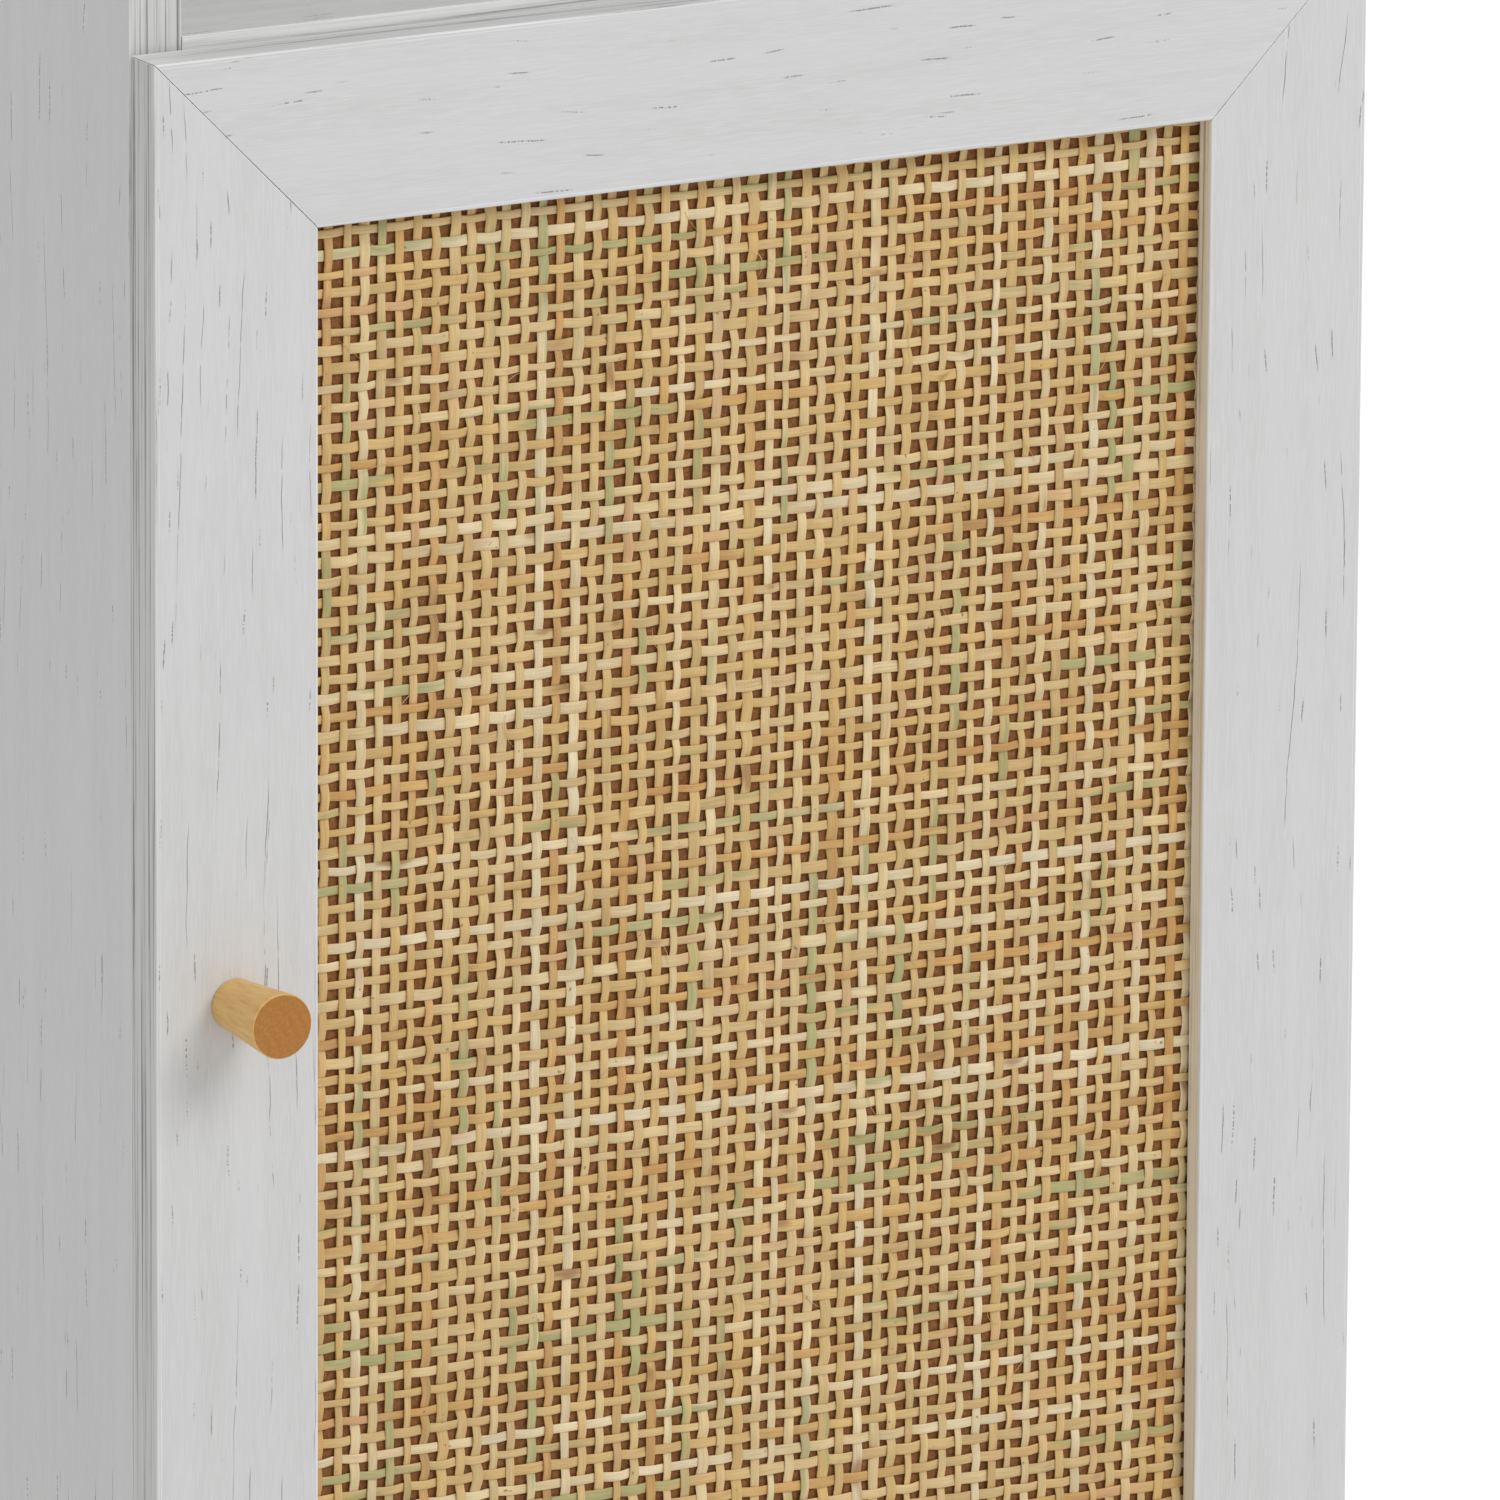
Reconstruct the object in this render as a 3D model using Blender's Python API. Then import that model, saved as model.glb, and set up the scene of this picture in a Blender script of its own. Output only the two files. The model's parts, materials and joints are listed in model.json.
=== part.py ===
"""Shoe cabinet: an open niche over one hinged door with a mitred frame and a cane panel.

Frame: +Z up, the door faces -Y, the origin is at the middle of the footprint on the floor.
All lengths are in metres unless a name ends in MM.
"""

import math

import bmesh
import bpy
from mathutils import Matrix, Vector

MM = 0.001

# Driving dimensions of the carcass.
CARCASS_WIDTH = 0.432
CARCASS_DEPTH = 0.330
TOTAL_HEIGHT = 0.900
BOARD = 0.018
PLINTH_HEIGHT = 0.055
PLINTH_SETBACK = 0.030
GLIDE_HEIGHT = 0.005
GLIDE_RADIUS = 0.0085
GLIDE_FROM_END = 0.022
BACK_THICKNESS = 0.003
BACK_REBATE = 0.009
BACK_PANEL_LIFT = 0.010
SHELF_COUNT = 2
SHELF_SETBACK = 0.025
ARRIS = 0.0008
FIT = 0.0003

# Driving dimensions of the door.
DOOR_HEIGHT = 0.598
DOOR_OVERHANG = 0.001
DOOR_GAP = 0.002
DOOR_THICKNESS = 0.016
DOOR_TOP_REVEAL = 0.0035
DOOR_BOTTOM_REVEAL = 0.002
MEMBER_WIDTH = 0.057
LIP_DEPTH = 0.0073
REBATE_WIDTH = 0.010
DOOR_ARRIS = 0.001
CANE_THICKNESS = 0.0022
BACKING_THICKNESS = 0.003
KNOB_BASE_RADIUS = 0.0081
KNOB_END_RADIUS = 0.0104
KNOB_END_ROUND = 0.0008
KNOB_LENGTH = 0.031
KNOB_FROM_EDGE = 0.0273
KNOB_SCREW_REACH = 0.012
HINGE_FROM_END = 0.090

# Places that follow from them.
TOTAL_DEPTH = KNOB_LENGTH + DOOR_THICKNESS + DOOR_GAP + CARCASS_DEPTH
KNOB_TIP_Y = -TOTAL_DEPTH / 2
DOOR_FRONT_Y = KNOB_TIP_Y + KNOB_LENGTH
DOOR_REAR_Y = DOOR_FRONT_Y + DOOR_THICKNESS
FRONT_Y = DOOR_REAR_Y + DOOR_GAP
REAR_Y = FRONT_Y + CARCASS_DEPTH
SIDE_X = CARCASS_WIDTH / 2
INNER_X = SIDE_X - BOARD
BOTTOM_Z = GLIDE_HEIGHT + PLINTH_HEIGHT
FLOOR_Z = BOTTOM_Z + BOARD
DOOR_BOTTOM_Z = BOTTOM_Z + DOOR_BOTTOM_REVEAL
DOOR_TOP_Z = DOOR_BOTTOM_Z + DOOR_HEIGHT
NICHE_FLOOR_Z = DOOR_TOP_Z + DOOR_TOP_REVEAL
TOP_UNDERSIDE_Z = TOTAL_HEIGHT - BOARD
BACK_FRONT_Y = REAR_Y - BACK_THICKNESS - FIT
DOOR_WIDTH = CARCASS_WIDTH + 2 * DOOR_OVERHANG
KNOB_X = -DOOR_WIDTH / 2 + KNOB_FROM_EDGE
KNOB_Z = (DOOR_TOP_Z + DOOR_BOTTOM_Z) / 2
BAY_HEIGHT = (NICHE_FLOOR_Z - BOARD - FLOOR_Z - SHELF_COUNT * BOARD) / (SHELF_COUNT + 1)

# The concealed hinge, as points (x, y) in millimetres. x is measured from the outer face of the
# right side panel and y from the carcass front, both in the plan, with the door closed.
INNER_PIVOT_MM = (-24.0, -3.0)
DOOR_PIVOT_MM = (-9.0, -6.7)
OUTER_PIVOT_MM = (-37.0, 2.5)
INNER_PATH_MM = (INNER_PIVOT_MM, (-18.4, -6.1), (-14.3, -7.5), DOOR_PIVOT_MM)
OUTER_PATH_MM = (OUTER_PIVOT_MM, (-27.0, -7.6), (-18.0, -9.2), (-12.6, -8.9), (-8.0, -10.3))
ARM_OUTLINE_MM = ((-21, -5.6), (-21, 60), (-42, 60), (-42, 0), (-32.5, 0), (-26.5, -5.6))
ARM_HALF_WIDTH = 0.008
ARM_SHEET = 0.0015
PIN_RADIUS = 0.0011
EYE_RADIUS = 0.0023
RIVET_RADIUS = 0.0019
LINK_HALF_THICKNESS = 0.001
LINK_HALF_WIDTH = 0.0062
FORK_HALF_GAP = 0.0042
OUTER_LINK_HALF_WIDTH = 0.0036
CUP_FROM_EDGE = 0.0215
CUP_RADIUS = 0.0172
CUP_WALL = 0.0008
CUP_DEPTH = 0.0122
FLANGE = 0.0011
CUP_SCREW_OFFSET = 0.0095
CUP_SCREW_SPACING = 0.045
PLATE_FROM_FRONT = 0.037
PLATE_SCREW_SPACING = 0.032
PIN_HOLE_PITCH = 0.032
PIN_LINES_Y = (FRONT_Y + 0.052, REAR_Y - 0.050)

X, Y, Z = Vector((1, 0, 0)), Vector((0, 1, 0)), Vector((0, 0, 1))


def clear_scene():
    for old in list(bpy.data.objects):
        bpy.data.objects.remove(old, do_unlink=True)


def make_material(name, colour, roughness, metallic=0.0):
    """A Principled material; colour is sRGB from 0 to 255."""
    material = bpy.data.materials.new(name)
    material.use_nodes = True
    shader = material.node_tree.nodes["Principled BSDF"]
    linear = [((c / 255 + 0.055) / 1.055) ** 2.4 for c in colour]
    shader.inputs["Base Color"].default_value = (*linear, 1)
    shader.inputs["Roughness"].default_value = roughness
    shader.inputs["Metallic"].default_value = metallic
    material.diffuse_color = (*linear, 1)
    return material


def add_object(name, mesh_data, material, origin, parent=None):
    """Turn a bmesh in world coordinates into an object whose origin is at the given point."""
    bmesh.ops.recalc_face_normals(mesh_data, faces=mesh_data.faces)
    bmesh.ops.translate(mesh_data, verts=mesh_data.verts, vec=-Vector(origin))
    mesh = bpy.data.meshes.new(name)
    mesh_data.to_mesh(mesh)
    mesh_data.free()
    obj = bpy.data.objects.new(name, mesh)
    bpy.context.scene.collection.objects.link(obj)
    if material:
        mesh.materials.append(material)
    obj.location = Vector(origin)
    if parent:
        obj.parent = parent
        obj.location = Vector(origin) - parent.location
    return obj


def box_mesh(low, high):
    low, high = Vector(low), Vector(high)
    made = bmesh.new()
    size = Matrix.Diagonal((*(high - low), 1))
    bmesh.ops.create_cube(made, size=1, matrix=Matrix.Translation((low + high) / 2) @ size)
    return made


def prism_mesh(outline, low, high):
    """An outline of (x, y) points extruded along Z."""
    made = bmesh.new()
    first, second = [[made.verts.new((x, y, level)) for x, y in outline] for level in (low, high)]
    made.faces.new(first)
    made.faces.new(second)
    for i in range(len(first)):
        j = (i + 1) % len(first)
        made.faces.new((first[i], first[j], second[j], second[i]))
    return made


def turned_mesh(profile, base, axis, segments):
    """A profile of (radius, distance) points, both ends on the axis, turned about it."""
    made = bmesh.new()
    verts = [made.verts.new((radius, 0, distance)) for radius, distance in profile]
    edges = [made.edges.new(pair) for pair in zip(verts, verts[1:])]
    bmesh.ops.spin(
        made,
        geom=verts + edges,
        axis=Z,
        cent=(0, 0, 0),
        steps=segments,
        angle=math.tau,
        use_merge=True,
    )
    bmesh.ops.remove_doubles(made, verts=made.verts, dist=1e-6)
    turn = Z.rotation_difference(axis).to_matrix().to_4x4()
    bmesh.ops.transform(made, matrix=Matrix.Translation(base) @ turn, verts=made.verts)
    return made


def cylinder_mesh(base, axis, radius, length, segments=16):
    return turned_mesh(((0, 0), (radius, 0), (radius, length), (0, length)), base, axis, segments)


def joined(meshes):
    """Several bmeshes put into one, still as separate shells."""
    whole = bmesh.new()
    for part in meshes:
        mesh = bpy.data.meshes.new("shell")
        part.to_mesh(mesh)
        part.free()
        whole.from_mesh(mesh)
        bpy.data.meshes.remove(mesh)
    return whole


def combine(obj, operation, meshes):
    """A Boolean with hidden helper shapes, which must not touch each other."""
    helper = add_object(f"{obj.name}_{operation.lower()}", joined(meshes), None, (0, 0, 0))
    helper.hide_render = True
    helper.display_type = "WIRE"
    modifier = obj.modifiers.new(operation.title(), "BOOLEAN")
    modifier.operation = operation
    modifier.object = helper
    modifier.solver = "EXACT"


def shade_round(obj, angle=35):
    obj.data.shade_smooth()
    obj.data.set_sharp_from_angle(angle=math.radians(angle))


def eased(mesh_data):
    """The same bmesh with a small chamfer on each outer edge."""
    bmesh.ops.recalc_face_normals(mesh_data, faces=mesh_data.faces)
    edges = [edge for edge in mesh_data.edges if edge.is_convex]
    bmesh.ops.bevel(
        mesh_data, geom=edges, offset=ARRIS, segments=1, profile=0.5, affect="EDGES"
    )
    return mesh_data


def board(name, low, high, material):
    """A sawn board with eased edges, its origin at its middle."""
    middle = (Vector(low) + Vector(high)) / 2
    return add_object(name, eased(box_mesh(low, high)), material, middle)


def plan(point_mm):
    """A hinge point of the plan, in metres in the cabinet's frame."""
    return Vector((SIDE_X + point_mm[0] * MM, FRONT_Y + point_mm[1] * MM))


def add_carcass(foil, hardboard, plastic):
    side_low, side_high = GLIDE_HEIGHT + FIT, TOP_UNDERSIDE_Z - FIT
    sides = {}
    for name, side in (("left", -1), ("right", 1)):
        outer, inner = side * SIDE_X, side * INNER_X
        step = side * (SIDE_X - BACK_REBATE)
        rebate_y = BACK_FRONT_Y - FIT
        outline = [(outer, FRONT_Y), (inner, FRONT_Y), (inner, rebate_y)]
        outline += [(step, rebate_y), (step, REAR_Y), (outer, REAR_Y)]
        centre = (side * (SIDE_X + INNER_X) / 2, (FRONT_Y + REAR_Y) / 2, side_low)
        panel = eased(prism_mesh(outline, side_low, side_high))
        sides[side] = add_object(f"side_panel_{name}", panel, foil, centre)
        for end, y in (("front", FRONT_Y + GLIDE_FROM_END), ("rear", REAR_Y - GLIDE_FROM_END)):
            profile = ((0, 0), (GLIDE_RADIUS - 0.001, 0), (GLIDE_RADIUS, 0.001))
            profile += ((GLIDE_RADIUS, GLIDE_HEIGHT), (0, GLIDE_HEIGHT))
            base = (side * (SIDE_X + INNER_X) / 2, y, 0)
            glide = turned_mesh(profile, base, Z, 20)
            shade_round(add_object(f"glide_{name}_{end}", glide, plastic, base))
    inner = INNER_X - FIT
    depth_end = BACK_FRONT_Y - FIT
    board(
        "top_panel",
        (-SIDE_X, FRONT_Y, TOP_UNDERSIDE_Z),
        (SIDE_X, REAR_Y, TOTAL_HEIGHT),
        foil,
    )
    board(
        "bottom_panel", (-inner, FRONT_Y, BOTTOM_Z), (inner, depth_end, FLOOR_Z), foil
    )
    shelf_low = NICHE_FLOOR_Z - BOARD
    niche_shelf = board(
        "niche_shelf", (-inner, FRONT_Y, shelf_low), (inner, depth_end, NICHE_FLOOR_Z), foil
    )
    plinth_y = FRONT_Y + PLINTH_SETBACK
    board(
        "plinth_rail",
        (-inner, plinth_y, GLIDE_HEIGHT + FIT),
        (inner, plinth_y + BOARD, BOTTOM_Z - FIT),
        foil,
    )
    back_x = SIDE_X - BACK_REBATE - FIT
    add_object(
        "back_panel",
        box_mesh(
            (-back_x, BACK_FRONT_Y, GLIDE_HEIGHT + BACK_PANEL_LIFT),
            (back_x, BACK_FRONT_Y + BACK_THICKNESS, TOP_UNDERSIDE_Z - FIT),
        ),
        hardboard,
        (0, BACK_FRONT_Y, (BOTTOM_Z + TOP_UNDERSIDE_Z) / 2),
    )
    return sides, niche_shelf


def add_shelves(foil, steel, holes):
    """The loose shelves on their pins. The pin holes are added to each side panel's list."""
    pin_radius, shank_radius, reach, shank = 0.0034, 0.0024, 0.008, 0.0085
    for level, name in enumerate(("lower", "upper")):
        low = FLOOR_Z + (level + 1) * BAY_HEIGHT + level * BOARD
        front, rear = FRONT_Y + SHELF_SETBACK, BACK_FRONT_Y - 0.002
        half = INNER_X - 0.001
        board(f"shelf_{name}", (-half, front, low), (half, rear, low + BOARD), foil)
        pin_z = low - FIT - pin_radius
        for side_name, side in (("left", -1), ("right", 1)):
            axis = -side * X
            for end, y in zip(("front", "rear"), PIN_LINES_Y):
                base = Vector((side * (INNER_X + shank), y, pin_z))
                shoulder = shank + FIT
                profile = ((0, 0), (shank_radius, 0), (shank_radius, shoulder))
                profile += ((pin_radius, shoulder), (pin_radius, shank + reach), (0, shank + reach))
                pin = turned_mesh(profile, base, axis, 12)
                pin_name = f"shelf_pin_{name}_{side_name}_{end}"
                shade_round(add_object(pin_name, pin, steel, base))
                for step in (-1, 0, 1):
                    mouth = Vector((side * (INNER_X - 0.002), y, pin_z + step * PIN_HOLE_PITCH))
                    holes[side].append((mouth, -axis, 0.0026, 0.0115, 8))


def add_cam_locks(niche_shelf, zinc):
    """Eccentric locks in the underside of the fixed shelf, two at each end."""
    radius, depth, from_end = 0.0075, 0.012, 0.034
    underside = NICHE_FLOOR_Z - BOARD
    bores = []
    for side_name, side in (("left", -1), ("right", 1)):
        for end, y in zip(("front", "rear"), PIN_LINES_Y):
            x = side * (INNER_X - from_end)
            bores.append(cylinder_mesh((x, y, underside - 0.002), Z, radius, depth + 0.0025, 20))
            base = Vector((x, y, underside))
            lock = cylinder_mesh(base, Z, radius - 0.0002, depth, 20)
            lock_object = add_object(f"cam_lock_{side_name}_{end}", lock, zinc, base)
            slots = [
                box_mesh(base - Vector((0.004, 0.0005, 0.002)), base + Vector((0.004, 0.0005, 0.002)))
            ]
            combine(lock_object, "DIFFERENCE", slots)
            shade_round(lock_object)
    combine(niche_shelf, "DIFFERENCE", bores)


def member_mesh(profile, length, place):
    """A mitred frame member. profile holds (width, depth) points from the outer edge and the
    front face; place turns (along, width, depth) into a point."""
    made = bmesh.new()
    cut = FIT / 2 * math.sqrt(2)
    first = [made.verts.new(place(-length / 2 + w + cut, w, d)) for w, d in profile]
    second = [made.verts.new(place(length / 2 - w - cut, w, d)) for w, d in profile]
    made.faces.new(first)
    made.faces.new(second)
    for i in range(len(profile)):
        j = (i + 1) % len(profile)
        made.faces.new((first[i], first[j], second[j], second[i]))
    return made


def add_frame(profile, names, material, pivot):
    """Four mitred members round the door: left, right, top and bottom."""
    half_x, mid_z, half_z = DOOR_WIDTH / 2, KNOB_Z, DOOR_HEIGHT / 2
    rules = (
        (DOOR_HEIGHT, lambda a, w, d: (-half_x + w, DOOR_FRONT_Y + d, mid_z + a)),
        (DOOR_HEIGHT, lambda a, w, d: (half_x - w, DOOR_FRONT_Y + d, mid_z + a)),
        (DOOR_WIDTH, lambda a, w, d: (a, DOOR_FRONT_Y + d, mid_z + half_z - w)),
        (DOOR_WIDTH, lambda a, w, d: (a, DOOR_FRONT_Y + d, mid_z - half_z + w)),
    )
    made = {}
    for name, (length, place) in zip(names, rules):
        middle_width = profile[0][0] / 2 + max(w for w, _ in profile) / 2
        origin = place(0, middle_width, profile[0][1])
        made[name] = add_object(name, member_mesh(profile, length, place), material, origin, pivot)
    return made


def add_door(foil, cane, hardboard, beech, steel, pivot):
    inner = MEMBER_WIDTH
    step = MEMBER_WIDTH - REBATE_WIDTH
    soft, thick = DOOR_ARRIS, DOOR_THICKNESS
    frame_profile = ((0, soft), (soft, 0), (inner - soft, 0), (inner, soft), (inner, LIP_DEPTH))
    frame_profile += ((step, LIP_DEPTH), (step, thick), (soft, thick), (0, thick - soft))
    names = ("stile_left", "stile_right", "rail_top", "rail_bottom")
    frame = add_frame(frame_profile, [f"door_{name}" for name in names], foil, pivot)

    panel_x = DOOR_WIDTH / 2 - step - FIT
    panel_z = DOOR_HEIGHT / 2 - step - FIT
    gap = 0.0002
    layer_y = DOOR_FRONT_Y + LIP_DEPTH + gap
    for name, thickness, material in (
        ("cane_panel", CANE_THICKNESS, cane),
        ("backing_board", BACKING_THICKNESS, hardboard),
    ):
        low = (-panel_x, layer_y, KNOB_Z - panel_z)
        high = (panel_x, layer_y + thickness, KNOB_Z + panel_z)
        add_object(name, box_mesh(low, high), material, (0, layer_y, KNOB_Z), pivot)
        layer_y += thickness + gap
    bead_low = layer_y - DOOR_FRONT_Y
    bead_in, bead_out = step + FIT, inner - FIT
    bead_profile = ((bead_in, bead_low), (bead_out, bead_low), (bead_out, thick - soft))
    bead_profile += ((bead_out - soft, thick), (bead_in, thick))
    beads = ("bead_left", "bead_right", "bead_top", "bead_bottom")
    add_frame(bead_profile, beads, foil, pivot)

    knob_base = Vector((KNOB_X, DOOR_FRONT_Y - FIT, KNOB_Z))
    length = KNOB_LENGTH - FIT
    soft = KNOB_END_ROUND
    round_end = [
        (KNOB_END_RADIUS - soft + soft * math.cos(a), length - soft + soft * math.sin(a))
        for a in (0, math.pi / 6, math.pi / 3, math.pi / 2)
    ]
    hole, hole_depth = 0.0023, KNOB_SCREW_REACH + 0.001
    profile = [(0, hole_depth), (hole, hole_depth), (hole, 0), (KNOB_BASE_RADIUS - FIT, 0)]
    profile += [(KNOB_BASE_RADIUS, FIT), *round_end, (0, length)]
    knob = turned_mesh(profile, knob_base, -Y, 32)
    shade_round(add_object("knob", knob, beech, knob_base, pivot))

    head_y = DOOR_REAR_Y + FIT
    screw_base = Vector((KNOB_X, head_y, KNOB_Z))
    shank = DOOR_THICKNESS + FIT + KNOB_SCREW_REACH
    screw_mesh_data = screw_mesh(screw_base, -Y, 0.0040, 0.0024, 0.0019, shank)
    shade_round(add_object("knob_screw", screw_mesh_data, steel, screw_base, pivot))
    clear = cylinder_mesh((KNOB_X, DOOR_FRONT_Y - 0.002, KNOB_Z), Y, hole, thick + 0.004)
    combine(frame["door_stile_left"], "DIFFERENCE", [clear])
    return frame["door_stile_right"]


def screw_mesh(seat, axis, head_radius, head_height, shank_radius, shank):
    """A pan-head screw whose head sits on the seat point and whose shank runs along axis."""
    crown = head_height * 0.35
    profile = [(0, -head_height), (head_radius * 0.6, -head_height), (head_radius, -head_height + crown)]
    profile += [(head_radius, 0), (shank_radius, 0), (shank_radius, shank - shank_radius)]
    profile += [(0, shank)]
    return turned_mesh(profile, seat, axis, 12)


def link_outline(path_mm, eye_radii):
    """A bent strip round a path of plan points, with a round eye at each end."""
    points = [plan(p) for p in path_mm]
    half = LINK_HALF_THICKNESS

    def eye(centre, towards, radius):
        heading = math.atan2(towards.y - centre.y, towards.x - centre.x)
        gap = math.asin(half / radius)
        turn = math.tau - 2 * gap
        angles = [heading + gap + turn * i / 12 for i in range(13)]
        return [centre + radius * Vector((math.cos(a), math.sin(a))) for a in angles]

    def side(sign):
        shifted = []
        for before, here, after in zip(points, points[1:], points[2:]):
            along = ((here - before).normalized() + (after - here).normalized()).normalized()
            shifted.append(here + sign * half * Vector((-along.y, along.x)))
        return shifted

    outline = eye(points[0], points[1], eye_radii[0]) + side(-1)
    outline += eye(points[-1], points[-2], eye_radii[1]) + side(1)[::-1]
    return outline


def add_hinge(name, z, steel, holes, stile_cuts, door_pivot):
    inner_pivot, outer_pivot, cup_pivot = map(
        plan, (INNER_PIVOT_MM, OUTER_PIVOT_MM, DOOR_PIVOT_MM)
    )

    def add(part, mesh_data, at, parent=None):
        return add_object(f"{part}_{name}", mesh_data, steel, (at.x, at.y, z), parent)

    # The arm is a channel, open towards the panel, with two pins across its nose.
    outline = [plan(p) for p in ARM_OUTLINE_MM]
    arm = add(
        "hinge_arm", prism_mesh(outline, z - ARM_HALF_WIDTH, z + ARM_HALF_WIDTH), inner_pivot
    )
    web_x = min(p.x for p in outline) + ARM_SHEET
    inside = ARM_HALF_WIDTH - ARM_SHEET
    hollow = box_mesh(
        (web_x, FRONT_Y - 0.02, z - inside), (SIDE_X, FRONT_Y + 0.07, z + inside)
    )
    combine(arm, "DIFFERENCE", [hollow])
    pin_half = ARM_HALF_WIDTH + 0.0004
    pins = [
        cylinder_mesh((p.x, p.y, z - pin_half), Z, PIN_RADIUS, 2 * pin_half)
        for p in (inner_pivot, outer_pivot)
    ]
    combine(arm, "UNION", pins)
    shade_round(arm)

    # The plate is a block in the channel, on two wings that are screwed to the panel.
    panel_face = INNER_X - FIT
    wing = 0.0018
    line_y = FRONT_Y + PLATE_FROM_FRONT
    block = box_mesh(
        (web_x + 0.0005, line_y - 0.020, z - inside + 0.0007),
        (panel_face, line_y + 0.020, z + inside - 0.0007),
    )
    plate = add("hinge_plate", block, Vector((panel_face, line_y)))
    wing_low = (panel_face - wing, line_y - 0.0065, z - PLATE_SCREW_SPACING / 2 - 0.007)
    wing_high = (panel_face, line_y + 0.0065, z + PLATE_SCREW_SPACING / 2 + 0.007)
    combine(plate, "UNION", [box_mesh(wing_low, wing_high)])
    clearances = []
    for end, sign in (("high", 1), ("low", -1)):
        seat = Vector((panel_face - wing - FIT, line_y, z + sign * PLATE_SCREW_SPACING / 2))
        screw = screw_mesh(seat, X, 0.0034, 0.0018, 0.0017, 0.0125)
        screw_name = f"plate_screw_{name}_{end}"
        shade_round(add_object(screw_name, screw, steel, seat))
        clearances.append(cylinder_mesh(seat - 0.001 * X, X, 0.0021, 0.006, 12))
        holes[1].append((seat + X * 0.001, X, 0.0020, 0.0145, 12))
    combine(plate, "DIFFERENCE", clearances)

    # The cup is pressed into the stile; its flange has a notch where the links come out.
    cup_x = DOOR_WIDTH / 2 - CUP_FROM_EDGE
    rim_y = DOOR_REAR_Y
    flange_y = rim_y + 0.0002
    inner_radius = CUP_RADIUS - CUP_WALL
    top = flange_y + FLANGE
    profile = [(0, rim_y - CUP_DEPTH), (CUP_RADIUS, rim_y - CUP_DEPTH), (CUP_RADIUS, flange_y)]
    profile += [(CUP_RADIUS + 0.0013, flange_y), (CUP_RADIUS + 0.0013, top), (inner_radius, top)]
    profile += [(inner_radius, rim_y - CUP_DEPTH + CUP_WALL), (0, rim_y - CUP_DEPTH + CUP_WALL)]
    profile = [(radius, y - rim_y) for radius, y in profile]
    cup = add(
        "hinge_cup",
        turned_mesh(profile, (cup_x, rim_y, z), Y, 40),
        Vector((cup_x, rim_y)),
        door_pivot,
    )
    screw_x = cup_x - CUP_SCREW_OFFSET
    ears = []
    for sign in (-1, 1):
        ends = sorted((z + sign * inner_radius * 0.84, z + sign * (CUP_SCREW_SPACING / 2 + 0.006)))
        ears.append(
            box_mesh((screw_x - 0.005, flange_y, ends[0]), (screw_x + 0.0055, top, ends[1]))
        )
    stub_from = FORK_HALF_GAP - FIT
    stub_length = 0.0122 - stub_from
    stubs = [
        cylinder_mesh((cup_pivot.x, cup_pivot.y, z + sign * stub_from), sign * Z, PIN_RADIUS, stub_length)
        for sign in (-1, 1)
    ]
    combine(cup, "UNION", ears + stubs)
    notch = box_mesh(
        (cup_x + 0.010, rim_y - 0.004, z - LINK_HALF_WIDTH - 0.001),
        (cup_x + 0.021, rim_y + 0.004, z + LINK_HALF_WIDTH + 0.001),
    )
    clearances = [notch]
    for end, sign in (("high", 1), ("low", -1)):
        seat = Vector((screw_x, top + 0.0002, z + sign * CUP_SCREW_SPACING / 2))
        screw = screw_mesh(seat, -Y, 0.0034, 0.0016, 0.0016, 0.0115)
        screw_name = f"cup_screw_{name}_{end}"
        shade_round(add_object(screw_name, screw, steel, seat, door_pivot))
        clearances.append(cylinder_mesh(seat + 0.001 * Y, -Y, 0.0019, 0.0035, 12))
        stile_cuts.append(cylinder_mesh(seat, -Y, 0.0019, 0.0125, 12))
    combine(cup, "DIFFERENCE", clearances)
    shade_round(cup)
    bore = cylinder_mesh((cup_x, rim_y + 0.001, z), -Y, CUP_RADIUS + FIT, CUP_DEPTH + 0.0013, 40)
    stile_cuts.append(bore)

    # The inner link is a fork: two plates joined by a tube on the arm's front pin.
    outline = link_outline(INNER_PATH_MM, (EYE_RADIUS, EYE_RADIUS))
    inner_link = add(
        "inner_link", prism_mesh(outline, z - LINK_HALF_WIDTH, z + LINK_HALF_WIDTH), inner_pivot
    )
    slot = box_mesh(
        (inner_pivot.x + 0.0026, FRONT_Y - 0.03, z - FORK_HALF_GAP),
        (SIDE_X, FRONT_Y + 0.01, z + FORK_HALF_GAP),
    )
    bore_radius, bore_half = PIN_RADIUS + 0.00015, LINK_HALF_WIDTH + 0.001
    bores = [
        cylinder_mesh((p.x, p.y, z - bore_half), Z, bore_radius, 2 * bore_half)
        for p in (inner_pivot, cup_pivot)
    ]
    combine(inner_link, "DIFFERENCE", [slot])
    combine(inner_link, "DIFFERENCE", bores)
    shade_round(inner_link)

    # The outer link turns on the arm's rear pin; its cup end is the linkage's open pivot.
    outline = link_outline(OUTER_PATH_MM, (EYE_RADIUS, RIVET_RADIUS))
    half = OUTER_LINK_HALF_WIDTH
    outer_link = add("outer_link", prism_mesh(outline, z - half, z + half), outer_pivot)
    bore = cylinder_mesh(
        (outer_pivot.x, outer_pivot.y, z - bore_half), Z, bore_radius, 2 * bore_half
    )
    combine(outer_link, "DIFFERENCE", [bore])
    shade_round(outer_link)


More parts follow.
